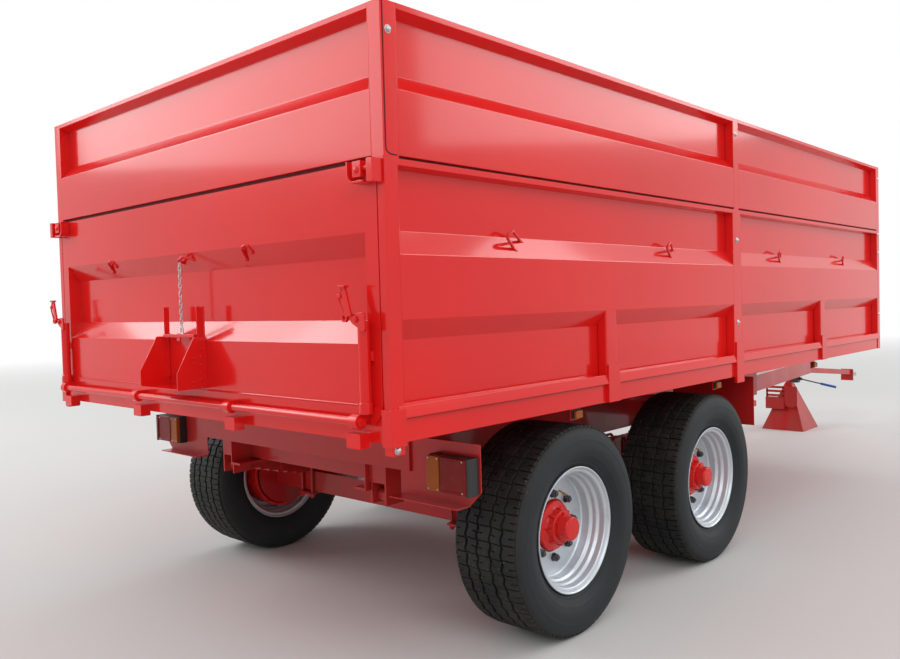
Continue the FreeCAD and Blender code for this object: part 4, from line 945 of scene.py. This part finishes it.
class TRAILER_OT_tail_lamps(bpy.types.Operator):
    """Build the tail lamp clusters: housing, amber and red lenses, reflector strip and screws"""
    bl_idname = "trailer.tail_lamps"
    bl_label = "Tail lamps"

    def execute(self, context):
        rear, front = low("tail_lamps").x, high("tail_lamps").x
        foot, top = low("tail_lamps").z, high("tail_lamps").z
        outer = -high("tail_lamps").y
        inner = outer + LAMP_WIDTH
        housing = [block("housing", (rear + 0.022, outer, foot), (front, inner, top), 0.005),
                   block("housing_end", (rear + 0.001, outer + 0.0005, foot + 0.001),
                         (rear + 0.030, outer + 0.010, top - 0.001), 0.003),
                   block("housing_bar", (rear + 0.010, inner - 0.076, foot + 0.003),
                         (rear + 0.030, inner - 0.071, top - 0.003), 0.002)]
        amber = lens("turn_lens", (rear + 0.004, inner - 0.0705, foot + 0.004),
                     (rear + 0.026, inner - 0.002, top - 0.004))
        ruby = lens("stop_lens", (rear + 0.004, outer + 0.0215, foot + 0.004),
                    (rear + 0.026, inner - 0.0765, top - 0.004))
        strip = block("reflector", (rear + 0.0005, outer + 0.0105, foot + 0.006),
                      (rear + 0.024, outer + 0.0210, top - 0.006), 0.001)
        screws = [dome("screw", (rear + 0.004, y, z), TO_REAR, 0.0038, 0.0020)
                  for y in (inner - 0.012, inner - 0.062, outer + 0.034)
                  for z in (foot + 0.013, top - 0.013)]
        body = BODY_OF["tail_lamps"]
        fit_both(joined("housing", housing), "tail_lamp_housing_{side}", body, "lamp housing",
                 "tail_lamps")
        fit_both(amber, "tail_lamp_turn_lens_{side}", body, "amber lens")
        fit_both(ruby, "tail_lamp_stop_lens_{side}", body, "ruby lens")
        fit_both(strip, "tail_lamp_reflector_{side}", body, "ruby lens")
        fit_both(joined("lamp_screws", screws), "tail_lamp_screws_{side}", body, "zinc plate")
        return {"FINISHED"}


def lens(name, lowest, highest):
    """A lamp lens with a raised rim round a slightly sunk face."""
    piece = block(name, lowest, highest, 0.005)
    with editing(piece):
        pick(piece, "faces", lambda side: side.normal.x < -0.99)
        bpy.ops.mesh.inset(thickness=0.004)
        bpy.ops.mesh.inset(thickness=0.002)
        bpy.ops.transform.translate(value=(0.0015, 0, 0))
    return smooth(piece, 30)


def dome(name, place, out, radius, tall, steps=16):
    """A round head, screw or weld spot that stands on a face and bulges along out."""
    curve = [(math.sin(lift) * radius, math.cos(lift) * tall)
             for lift in (math.radians(18 * step) for step in range(6))]
    piece = turned_out(name, curve + [(radius, -tall * 0.3), (0.0, -tall * 0.3)], place, out, steps)
    return smooth(piece, 50)


class TRAILER_OT_side_markers(bpy.types.Operator):
    """Hang an amber side marker under each floor rail at three places"""
    bl_idname = "trailer.side_markers"
    bl_label = "Side markers"

    def execute(self, context):
        top = low("side_floor_rails").z
        y = -SIDE_Y + 0.058
        foot = [block("marker_bracket", (-0.036, y, top - 0.062), (0.036, y + 0.006, top + 0.004)),
                block("marker_tab", (-0.036, y, top - 0.002), (0.036, y + 0.030, top + 0.004))]
        base = block("marker_base", (-0.034, y - 0.008, top - 0.058),
                     (0.034, y, top - 0.016), 0.003)
        glass = block("marker_lens", (-0.028, y - 0.024, top - 0.054),
                      (0.028, y - 0.008, top - 0.020), 0.006)
        with editing(glass):
            pick(glass, "faces", lambda side: side.normal.y < -0.99)
            bpy.ops.mesh.inset(thickness=0.004)
            bpy.ops.transform.translate(value=(0, 0.002, 0))
        for name, piece, look in (("bracket", joined("bracket", foot), "body enamel"),
                                  ("base", base, "lamp housing"), ("lens", glass, "amber lens")):
            fit_both(piece, "side_marker_" + name + "_{side}_{spot}", "load_body", look,
                     spots=ahead_of_rear(1.165, 2.571, 4.124))
        return {"FINISHED"}


class TRAILER_OT_rope_hooks(bpy.types.Operator):
    """Bend rope hooks from round bar and weld them to the sides and the tailgate"""
    bl_idname = "trailer.rope_hooks"
    bl_label = "Rope hooks"

    def execute(self, context):
        radius = context.scene.trailer_sizes.hook_rod
        skin = -SIDE_Y
        hook = rope_hook("rope_hook", [(0.115, skin + 0.043, 1.728), (0.012, skin + 0.002, 1.765),
                                       (-0.030, skin + 0.002, 1.742),
                                       (0.048, skin + 0.021, 1.690)], radius)
        fit_both(hook, "rope_hook_{side}_{spot}", "load_body", "body enamel",
                 spots=ahead_of_rear(0.668, 1.950, 3.400, 4.630))
        side = [(REAR_X + 0.016, -0.022, 1.714), (REAR_X - 0.008, -0.016, 1.744),
                (REAR_X - 0.010, 0.014, 1.731), (REAR_X + 0.033, 0.042, 1.690)]
        middle = [(REAR_X + 0.020, -0.050, 1.709), (REAR_X - 0.020, -0.030, 1.722),
                  (REAR_X - 0.0265, 0.004, 1.703), (REAR_X + 0.026, 0.040, 1.700)]
        for spot, (corners, y) in enumerate(((side, 0.690), (middle, 0.0), (side, -0.480))):
            hook = rope_hook("gate_hook_%d" % (spot + 1),
                             [(x, y + across, z) for x, across, z in corners], radius)
            fit(hook, "tailgate", "body enamel")
        return {"FINISHED"}


def rope_hook(name, corners, radius):
    """A hairpin of bar with a weld at each foot."""
    bar = rod(name, radius, corners, bend=0.013, sides=12)
    out = (Vector(corners[1]) - Vector(corners[0])).normalized()
    ends = (corners[0], corners[-1])
    feet = [primitive("foot_weld", "uv_sphere", corner, radius=radius * 1.7, segments=12,
                      ring_count=8) for corner in ends]
    for foot, corner in zip(feet, ends):
        with editing(foot):
            pick_all()
            bpy.ops.transform.resize(value=(1.3, 0.8, 0.75), center_override=corner)
            bpy.ops.transform.translate(value=-out * radius * 0.4)
        smooth(foot, 60)
    return joined(name, [bar] + feet)


class TRAILER_OT_gate_hinges(bpy.types.Operator):
    """Strap, web and pin head at each top corner of the tailgate"""
    bl_idname = "trailer.gate_hinges"
    bl_label = "Tailgate hinges"

    def execute(self, context):
        sizes = context.scene.trailer_sizes
        lug, top = high("gate_lugs"), high("tailgate").z
        inner, outer, foot = lug.y - 0.074, lug.y + 0.010, top - 0.075
        outline = [(-inner, top), (-inner, foot + 0.028), (-inner - 0.004, foot + 0.013),
                   (-inner - 0.014, foot + 0.004), (-inner - 0.028, foot), (-outer, foot),
                   (-outer, foot + 0.008), (-inner - 0.030, foot + 0.008),
                   (-inner - 0.020, foot + 0.011), (-inner - 0.012, foot + 0.019),
                   (-inner - 0.008, foot + 0.030), (-inner - 0.008, top)]
        strap = plate("hinge_strap", [(REAR_X - 0.001, y, z) for y, z in outline],
                      Vector((-0.044, 0, 0)), 0.0015)
        web = block("hinge_web", (REAR_X - 0.012, -outer + 0.004, foot + 0.006),
                    (REAR_X - 0.001, -inner - 0.006, top - 0.002), 0.002)
        head = dome("hinge_head", (REAR_X - 0.0455, -lug.y + 0.021, lug.z - 0.030), TO_REAR,
                    0.012, 0.007, 24)
        beads = weld_row("hinge_welds", (REAR_X - 0.012, -outer + 0.005, foot + 0.006),
                         (REAR_X - 0.012, -outer + 0.005, top - 0.004), TO_REAR, sizes.weld, 9)
        hinge = joined("gate_hinge", [strap, web, head, beads])
        fit_both(hinge, "gate_hinge_{side}", "tailgate", "body enamel")
        return {"FINISHED"}


def weld_row(name, start, end, out, radius, number):
    """A row of weld spots from start to end, modelled once and repeated."""
    start, end = Vector(start), Vector(end)
    first = dome(name, start, out, radius, radius * 0.6, 8)
    step = (end - start) / max(number - 1, 1)
    spots = [first] + [copied(first, name, step * spot) for spot in range(1, number)]
    return joined(name, spots)


class TRAILER_OT_lock_levers(bpy.types.Operator):
    """Build the two tailgate locks: tube, knuckle, rest lug, pivot plate and leaning handle"""
    bl_idname = "trailer.lock_levers"
    bl_label = "Tailgate lock levers"

    def execute(self, context):
        y, x = -high("lock_levers").y + 0.014, REAR_X - 0.0265
        foot, top = low("lock_levers").z, 1.438
        tube = rod("lock_tube", 0.0210, [(x, y, foot), (x, y, foot + 0.150), (x, y, top)],
                   bend=0.01, sides=28)
        ring = [(0.0245, -0.018), (0.0245, 0.016), (0.0215, 0.020), (0.0150, 0.020),
                (0.0150, -0.018)]
        knuckle = turned("lock_knuckle", ring, (x, y, foot + 0.020), "z", steps=28)
        rest = block("lock_rest", (x + 0.012, y - 0.024, 1.300),
                     (REAR_X - 0.0003, y + 0.024, 1.336), 0.003)
        outline = [(0.037, 1.462), (-0.019, 1.467), (-0.029, 1.461), (-0.031, 1.408),
                   (-0.024, 1.400), (0.024, 1.424), (0.041, 1.436), (0.043, 1.452)]
        cheek = plate("lock_cheek", [(x - 0.014, y + across, z) for across, z in outline],
                      Vector((-0.010, 0, 0)), 0.0025)
        bolt = nut("lock_bolt", (x - 0.024, y + 0.011, 1.444), TO_REAR, 0.0190, 0.007, 0.004)
        outline = [(0.024, 1.456), (0.046, 1.452), (0.0845, 1.551), (0.082, 1.557),
                   (0.056, 1.560), (0.0535, 1.555)]
        grip = plate("lock_handle", [(x - 0.025, y + across, z) for across, z in outline],
                     Vector((-0.010, 0, 0)), 0.002)
        lip = block("lock_lip", (x - 0.044, y + 0.044, 1.552), (x - 0.022, y + 0.078, 1.560), 0.002)
        eye = turned("lock_eye", [(0.015, -0.006), (0.015, 0.006), (0.007, 0.006), (0.007, -0.006)],
                     (x - 0.026, y + 0.0635, 1.449), "x", steps=20)
        link = rod("lock_link", 0.0042, [(x - 0.030, y + 0.066, 1.458),
                                         (x - 0.033, y + 0.083, 1.500),
                                         (x - 0.034, y + 0.086, 1.522),
                                         (x - 0.034, y + 0.068, 1.545)], bend=0.012, sides=10)
        clip = block("lock_clip", (x - 0.040, y + 0.071, 1.516),
                     (x - 0.028, y + 0.089, 1.530), 0.002)
        lever = joined("lock_lever", [smooth(tube, 35), smooth(knuckle, 35), rest, cheek, bolt,
                                      grip, lip, eye, link, clip])
        fit(copied(lever, "lock_lever_right"), "tailgate", look_of("lock_levers"), "lock_levers")
        fit(copied(lever, "lock_lever_left", (0, -2 * y, 0)), "tailgate", look_of("lock_levers"))
        bpy.data.objects.remove(lever)
        return {"FINISHED"}


class TRAILER_OT_hatch_chain(bpy.types.Operator):
    """Hang a chain of oval links from the middle hook to the grain hatch"""
    bl_idname = "trailer.hatch_chain"
    bl_label = "Hatch chain"

    def execute(self, context):
        number = context.scene.trailer_sizes.links
        foot, head = low("hatch_chain").z, high("hatch_chain").z
        x = (low("hatch_chain").x + high("hatch_chain").x) / 2
        shackle_top = foot + 0.030
        pitch = (head - foot - 0.030) / number
        middle = shackle_top + pitch / 2
        wire, bow_radius = 0.0021, 0.0062
        first = primitive("link", "torus", (x, 0, middle), major_radius=bow_radius,
                          minor_radius=wire, major_segments=20, minor_segments=8,
                          rotation=(0, math.radians(90), 0))
        with editing(first):
            for up in (1, -1):
                pick(first, "verts", lambda spot: (spot.co.z - middle) * up > 1e-5)
                bpy.ops.transform.translate(value=(0, 0, up * (pitch / 2 + wire - bow_radius)))
        smooth(first, 60)
        second = copied(first, "link")
        with editing(second):
            pick_all()
            bpy.ops.transform.rotate(value=math.radians(90), orient_axis="Z",
                                     center_override=(x, 0, middle))
            bpy.ops.transform.translate(value=(0, 0, pitch))
        links = [first, second]
        for spot in range(2, number):
            links.append(copied(links[spot % 2], "link", (0, 0, pitch * (spot - spot % 2))))
        bow = rod("shackle", 0.0030, [(x, -0.009, foot - 0.004), (x, -0.009, foot + 0.031),
                                      (x, 0.009, foot + 0.031), (x, 0.009, foot - 0.004)],
                  bend=0.0085, sides=10)
        pin = rod("shackle_pin", 0.0034, [(x, -0.015, foot + 0.002), (x, 0, foot + 0.002),
                                         (x, 0.015, foot + 0.002)], bend=0.01, sides=12)
        chain = joined("hatch_chain_links", links + [bow, pin])
        fit(chain, "tailgate", "zinc plate", "hatch_chain")
        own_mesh(chain)
        return {"FINISHED"}


class TRAILER_OT_hatch_details(bpy.types.Operator):
    """Top bar and lug on the hatch slide, and weld spots down the chute's cheeks"""
    bl_idname = "trailer.hatch_details"
    bl_label = "Grain hatch details"

    def execute(self, context):
        sizes = context.scene.trailer_sizes
        slide, chute = high("hatch_slide"), low("hatch_chute")
        rows = []
        for side, y in ((1, high("hatch_chute").y - 0.0002), (-1, chute.y + 0.0002)):
            for back, start, end, number in ((0.028, chute.z + 0.006, chute.z + 0.200, 7),
                                             (0.064, chute.z + 0.010, chute.z + 0.030, 2),
                                             (0.064, chute.z + 0.112, chute.z + 0.132, 2)):
                rows.append(weld_row("hatch_welds", (REAR_X - back, y, start),
                                     (REAR_X - back, y, end), (0, side, 0), sizes.weld * 1.5,
                                     number))
        fit(joined("hatch_welds", rows), "tailgate", "body enamel")
        bead = []
        for start, end in ((-1.140, chute.y - 0.004), (high("hatch_chute").y + 0.004, 1.140)):
            bead.append(rod("skirt_weld", 0.0032, [(REAR_X - 0.0040, y, 1.1465)
                                                   for y in (start, (start + end) / 2, end)],
                            sides=8))
        fit(joined("skirt_weld", bead), "tailgate", "body enamel")
        x = low("hatch_slide").x
        reach = slide.y - 0.012
        bar = block("slide_bar", (x - 0.006, -reach, slide.z - 0.014), (x + 0.002, reach, slide.z),
                    0.002)
        lug = block("slide_lug", (x - 0.004, -0.014, slide.z - 0.030),
                    (x + 0.003, 0.014, slide.z + 0.004), 0.002)
        fit(joined("slide_bar", [bar, lug]), "grain_hatch", "body enamel")
        return {"FINISHED"}


# The bolts through each side's posts: distance ahead of the rear corner, and height.
BOLT_PLACES = ((2.754, 2.409), (2.754, 1.805), (2.754, 1.332), (0.035, 2.404), (5.490, 2.400),
               (5.490, 1.950), (5.490, 1.800), (5.490, 1.300), (2.754, 1.004), (0.026, 0.998))


class TRAILER_OT_bolts(bpy.types.Operator):
    """Plated bolts through the posts"""
    bl_idname = "trailer.bolts"
    bl_label = "Post bolts"

    def execute(self, context):
        radius = context.scene.trailer_sizes.bolt
        head = dome("bolt_head", (0, -SIDE_Y - 0.0020, 0), TO_RIGHT, radius, 0.0085, 24)
        washer = dome("bolt_washer", (0, -SIDE_Y - 0.0002, 0), TO_RIGHT, radius * 1.35, 0.0024, 24)
        bolt = joined("bolt", [head, washer])
        for side in SIDES:
            heads = [copied(bolt, "bolt", (REAR_X + x, 0, z), flip_for(side))
                     for x, z in BOLT_PLACES]
            fit(joined("post_bolts_" + side, heads), "load_body", "zinc plate")
        bpy.data.objects.remove(bolt)
        return {"FINISHED"}


class TRAILER_OT_corner_seams(bpy.types.Operator):
    """Painted shade: a dark rod along the joint where each side post of the extension laps the rear
    corner
    """
    bl_idname = "trailer.corner_seams"
    bl_label = "Corner seams"

    def execute(self, context):
        x, skin = REAR_X + 0.0105, -SIDE_Y - 0.0004
        top = high("extension_posts").z - 0.004
        # A near-black rod stands for the shade in the joint.
        seam = rod("corner_seam", 0.0024, [(x, skin, top), (x, skin, 2.000),
                                           (x + 0.023, skin, 1.9915),
                                           (x + 0.050, skin, 1.9915)], bend=0.02, sides=10)
        fit_both(seam, "corner_seam_{side}", "load_body", "joint shadow")
        return {"FINISHED"}


class TRAILER_OT_rail_covers(bpy.types.Operator):
    """The sloping cover strip along each side floor rail, with a dark rod under its lip as painted
    shadow
    """
    bl_idname = "trailer.rail_covers"
    bl_label = "Rail cover strips"

    def execute(self, context):
        outline = [(-0.001, 1.1030), (0.0080, 1.1030), (0.0105, 1.1060), (0.0095, 1.1120),
                   (0.0015, 1.1450), (-0.001, 1.1460)]
        skin, start, end = -SIDE_Y - 0.0002, REAR_X + 0.034, FRONT_X - 0.034
        strip = plate("rail_cover", [(start, skin - out, z) for out, z in outline],
                      Vector((end - start, 0, 0)), 0.0008)
        # Painted shadow: a near-black rod under the strip's lip.
        seam = rod("rail_seam", 0.0016, [(x, skin, 1.1018) for x in (start, 0, end)], sides=8)
        fit_both(strip, "rail_cover_{side}", "load_body", "body enamel")
        fit_both(seam, "rail_seam_{side}", "load_body", "joint shadow")
        return {"FINISHED"}


class TRAILER_OT_extension_seals(bpy.types.Operator):
    """Sealing strips set back in the gap between the body and its extension boards, near-black as
    painted shade in the gap
    """
    bl_idname = "trailer.extension_seals"
    bl_label = "Extension seals"

    def execute(self, context):
        foot, top, gate_top = 1.9795, 1.9905, 1.9765
        # The strips' near-black colour stands for the shade inside the gap.
        side = block("extension_seal", (REAR_X + 0.060, -SIDE_Y + 0.014, foot),
                     (FRONT_X - 0.060, -SIDE_Y + 0.040, top), 0.001)
        front = block("extension_seal", (FRONT_X - 0.040, -SIDE_Y + 0.060, foot),
                      (FRONT_X - 0.014, SIDE_Y - 0.060, top), 0.001)
        rear = block("extension_seal", (REAR_X + 0.014, -SIDE_Y + 0.062, gate_top),
                     (REAR_X + 0.040, SIDE_Y - 0.062, top), 0.001)
        strips = [side, copied(side, "extension_seal", flip="y"), front, rear]
        fit(joined("extension_seals", strips), "load_body", "joint shadow", slot="red_paint")
        return {"FINISHED"}


class TRAILER_OT_springs(bpy.types.Operator):
    """Stack each spring from its leaves, with eyes, clips, plates and U-bolts"""
    bl_idname = "trailer.springs"
    bl_label = "Leaf springs"

    def execute(self, context):
        leaves = context.scene.trailer_sizes.leaves
        x, top = AXLES["rear"], high("leaf_springs").z
        y = -(high("leaf_springs").y - 0.035)
        half, wide, thick, drop = 0.540, 0.070, 0.0118, 0.0119
        crown = top - 0.046
        reaches = [half] + [half - 0.012 - (half - 0.13) * (spot / (leaves - 1)) ** 1.05
                            for spot in range(leaves - 1)]
        stack = []
        for spot, reach in enumerate(reaches):
            bow = [(along, crown + 0.030 * (abs(along) / half) ** 1.7 - drop * spot)
                   for along in (reach * (step / 7) for step in range(-7, 8))]
            outline = bow + [(along, rise - thick) for along, rise in reversed(bow)]
            stack.append(plate("leaf", [(x + along, y - wide / 2, rise)
                                        for along, rise in outline], Vector((0, wide, 0)), 0.0016))
        ring = [(0.028, -wide / 2), (0.028, wide / 2), (0.0165, wide / 2), (0.0165, -wide / 2)]
        for end in (x - half, x + half):
            stack.append(smooth(turned("spring_eye", ring, (end, y, top - 0.028), steps=28), 35))
        for end in (x - 0.27, x + 0.27):
            stack.append(block("spring_clip", (end - 0.016, y - 0.0405, crown - 0.052),
                               (end + 0.016, y + 0.0405, crown + 0.018), 0.003))
        beam_foot = AXLE_Z - 0.059
        clamp = [block("axle_clamp", (x - 0.098, y - 0.058, beam_foot - 0.016),
                       (x + 0.098, y + 0.058, beam_foot - 0.002), 0.002),
                 block("spring_seat", (x - 0.085, y - 0.036, crown - 0.0005),
                       (x + 0.085, y + 0.036, crown + 0.012), 0.002)]
        for row in (y - 0.0455, y + 0.0455):
            for end in (x - 0.074, x + 0.074):
                clamp.append(nut("u_bolt_nut", (end, row, beam_foot - 0.0165), (0, 0, -1), 0.026,
                                 0.015, 0.0085))
            corners = [(x - 0.074, row, beam_foot - 0.010), (x - 0.074, row, crown + 0.022),
                       (x + 0.074, row, crown + 0.022), (x + 0.074, row, beam_foot - 0.010)]
            clamp.append(rod("u_bolt", 0.0085, corners, bend=0.024, sides=14))
        moves = {axle: to_axle(axle) for axle in AXLES}
        fit_both(joined("spring", stack), "spring_{side}_{spot}", "chassis", "chassis enamel",
                 "leaf_springs", spots=moves)
        fit_both(joined("clamp", clamp), "axle_clamp_{side}_{spot}", "chassis", "chassis enamel",
                 spots=moves)
        return {"FINISHED"}


class TRAILER_OT_stand_tray(bpy.types.Operator):
    """Tray and skid plate that ride behind the foot of the parking stand"""
    bl_idname = "trailer.stand_tray"
    bl_label = "Stand tray and skid plate"

    def execute(self, context):
        x = low("stand_leg").x + 0.040
        outline = [(-0.012, 0.475), (-0.012, 0.300), (-0.004, 0.276), (0.012, 0.260),
                   (0.034, 0.250), (0.078, 0.250), (0.100, 0.260), (0.114, 0.276),
                   (0.120, 0.300), (0.120, 0.475)]
        skid = plate("skid_plate", [(x, y, z) for y, z in outline], Vector((0.007, 0, 0)))
        tray = block("tray", (x - 0.004, 0.128, 0.225), (x + 0.066, 0.330, 0.350), 0.003)
        with editing(tray):
            pick(tray, "faces", lambda side: side.normal.z > 0.99)
            bpy.ops.mesh.inset(thickness=0.004)
            push((0, 0, -0.110))
        rails = [block("tray_rail", (x, 0.128, z), (x + 0.006, 0.322, z + 0.026), 0.0015)
                 for z in (0.362, 0.408, 0.452)]
        posts = [block("tray_post", (x, y, 0.345), (x + 0.006, y + 0.022, 0.478), 0.0015)
                 for y in (0.124, 0.302)]
        arms = [block("tray_arm", (x + 0.004, y, 0.418), (x + 0.150, y + 0.018, 0.436), 0.003)
                for y in (0.096, 0.150)]
        fit(joined("stand_tray", [skid, tray] + rails + posts + arms), "parking_stand",
            "chassis enamel")
        return {"FINISHED"}


class TRAILER_OT_valve_lever(bpy.types.Operator):
    """Hydraulic valve on the drawbar with a long lever and a blue grip"""
    bl_idname = "trailer.valve_lever"
    bl_label = "Valve lever"

    def execute(self, context):
        x, y = REAR_X + 7.020, -0.060
        body = block("valve_body", (x - 0.035, y - 0.040, 0.545), (x + 0.035, y + 0.045, 0.652),
                     0.004)
        spool = turned("valve_spool", [(0, -0.030), (0.014, -0.030), (0.0155, -0.028),
                                       (0.0155, 0.004), (0, 0.004)], (x, y - 0.040, 0.585),
                       steps=24, closed=False)
        fit(joined("valve_body", [body, smooth(spool, 35)]), "chassis", "dark steel")
        start, bend = (x, y - 0.058, 0.585), (x + 0.004, y - 0.110, 0.572)
        end = (x + 0.030, -0.455, 0.512)
        bar = rod("valve_bar", 0.0065, [start, bend, end], bend=0.03, sides=12)
        fit(bar, "chassis", "dark steel")
        way = (Vector(end) - Vector(bend)).normalized()
        tail = Vector(end) - way * 0.145
        grip = rod("valve_grip", 0.0125, [tail, tail + way * 0.08, Vector(end) + way * 0.008],
                   bend=0.02, sides=20)
        with editing(grip):
            pick(grip, "faces", lambda side: len(side.verts) > 4)
            bpy.ops.mesh.inset(thickness=0.004)
            pick(grip, "edges", lambda edge: edge.calc_face_angle(0) > math.radians(50))
            bpy.ops.mesh.bevel(offset=0.003, segments=2)
        fit(grip, "chassis", "lever grip")
        return {"FINISHED"}


class TRAILER_OT_stage(bpy.types.Operator):
    """Set the floor, the soft lights, the surroundings and the camera"""
    bl_idname = "trailer.stage"
    bl_label = "Stage"

    def execute(self, context):
        lay_floor(context.scene.trailer_colours.floor)
        hang_lights()
        paint_surroundings(context.scene)
        stand_camera(context.scene)
        context.scene.view_settings.view_transform = "Standard"
        return {"FINISHED"}


# Strength of the even light; the wall itself is seen at 1, which is white.
LIGHT_ALL_ROUND = 0.58
# Soft boxes: name, place, width, power.
SOFT_BOXES = (("key", (-9.0, -9.0, 9.0), 9.0, 470.0), ("top", (1.0, 0.0, 12.0), 11.0, 300.0),
              ("behind_left", (-13.0, 12.0, 9.0), 9.0, 900.0),
              ("gate_high", (-8.0, 11.5, 9.5), 5.0, 330.0),
              ("front_right", (11.0, -10.0, 9.6), 9.0, 900.0))


def lay_floor(pale):
    """A wide pale floor with a fine grain; far out it melts into the pale wall."""
    floor = primitive("studio_floor", "plane", (0, 0, -0.0005), size=240)
    finish = Finish("studio floor", Specular_IOR_Level=0.1)
    x, y = finish.axes()[:2]
    far = ((x ** 2.0 + y ** 2.0) ** 0.5).between(7.0, 24.0)
    grain = finish.noise(35.0, 4.0)
    base = finish.blend(grain, shade_of(pale, 0.97), pale)
    finish.wears(Base_Color=base, Roughness=0.85 + grain * 0.1)
    glow = finish.node("Emission", {}, {"Color": (1.0, 1.0, 1.0), "Strength": 1.0})
    seen = finish.seen_by("Camera", "Glossy")
    surface = finish.node("MixShader", {}, {0: far * seen}).socket.node
    for spot, source in enumerate((finish.shader.outputs["BSDF"], glow.socket)):
        finish.tree.links.new(source, surface.inputs[spot + 1])
    finish.tree.links.new(surface.outputs[0],
                          finish.tree.nodes["Material Output"].inputs["Surface"])
    floor.data.materials.append(finish.material)


def hang_lights():
    """Large soft boxes: over the viewed corner, over the top, and where the panels mirror them."""
    for name, place, size, power in SOFT_BOXES:
        bpy.ops.object.light_add(type="AREA", location=place)
        lamp = bpy.context.object
        lamp.name = name
        lamp.data.shape = "SQUARE"
        lamp.data.size = size
        lamp.data.energy = power
        aim = Vector((0, 0, 1.2)) - lamp.location
        lamp.rotation_euler = aim.to_track_quat("-Z", "Y").to_euler()


def paint_surroundings(scene):
    """Even light from all round; the camera and reflections see a pale wall."""
    scene.world = bpy.data.worlds.new("studio")
    around = Nodes(scene.world)
    seen = around.seen_by("Camera", "Glossy", "Transmission")
    wall = around.tree.nodes["Background"]
    around.feed(wall.inputs["Strength"], LIGHT_ALL_ROUND + seen * (1.0 - LIGHT_ALL_ROUND))
    around.feed(wall.inputs["Color"], (1.0, 1.0, 1.0))


def stand_camera(scene):
    """A camera at the viewing place, without shift or depth of field."""
    view = scene.trailer_view
    ahead = Vector((math.cos(view.pitch) * math.cos(view.yaw),
                    math.cos(view.pitch) * math.sin(view.yaw), math.sin(view.pitch)))
    right = Vector((math.sin(view.yaw), -math.cos(view.yaw), 0))
    up = right.cross(ahead)
    lean = Matrix.Rotation(-view.roll, 3, ahead)
    axes = Matrix((lean @ right, lean @ up, -ahead)).transposed()
    bpy.ops.object.camera_add(location=view.place, rotation=axes.to_euler())
    camera = bpy.context.object
    camera.data.lens = view.lens
    camera.data.clip_end = 500.0
    scene.camera = camera


# --------------------------------------------------------------------------------------
# Add-on
# --------------------------------------------------------------------------------------
PIECES = (TRAILER_OT_finishes, TRAILER_OT_plain_nodes, TRAILER_OT_pressings, TRAILER_OT_tyres,
          TRAILER_OT_rims, TRAILER_OT_hubs, TRAILER_OT_tail_lamps, TRAILER_OT_side_markers,
          TRAILER_OT_rope_hooks, TRAILER_OT_gate_hinges, TRAILER_OT_lock_levers,
          TRAILER_OT_hatch_chain, TRAILER_OT_hatch_details, TRAILER_OT_bolts,
          TRAILER_OT_corner_seams, TRAILER_OT_rail_covers, TRAILER_OT_extension_seals,
          TRAILER_OT_springs, TRAILER_OT_stand_tray, TRAILER_OT_valve_lever, TRAILER_OT_stage)


class TRAILER_PT_looks(bpy.types.Panel):
    """Pieces and sizes of the trailer"""
    bl_idname = "TRAILER_PT_looks"
    bl_label = "Trailer"
    bl_space_type = "VIEW_3D"
    bl_region_type = "UI"
    bl_category = "Trailer"

    def draw(self, context):
        for group in ("trailer_colours", "trailer_sizes", "trailer_view"):
            settings = getattr(context.scene, group)
            for name in settings.__annotations__:
                self.layout.prop(settings, name)
        for piece in PIECES:
            self.layout.operator(piece.bl_idname)


GROUPS = {"trailer_colours": TrailerColours, "trailer_sizes": TrailerSizes,
          "trailer_view": TrailerView}
CLASSES = tuple(GROUPS.values()) + PIECES + (TRAILER_PT_looks,)


def register():
    for item in CLASSES:
        bpy.utils.register_class(item)
    for name, group in GROUPS.items():
        setattr(bpy.types.Scene, name, bpy.props.PointerProperty(type=group))


def unregister():
    for name in GROUPS:
        delattr(bpy.types.Scene, name)
    for item in reversed(CLASSES):
        bpy.utils.unregister_class(item)


def main():
    register()
    for piece in PIECES:
        family, name = piece.bl_idname.split(".")
        getattr(getattr(bpy.ops, family), name)()


if __name__ == "__main__":
    main()
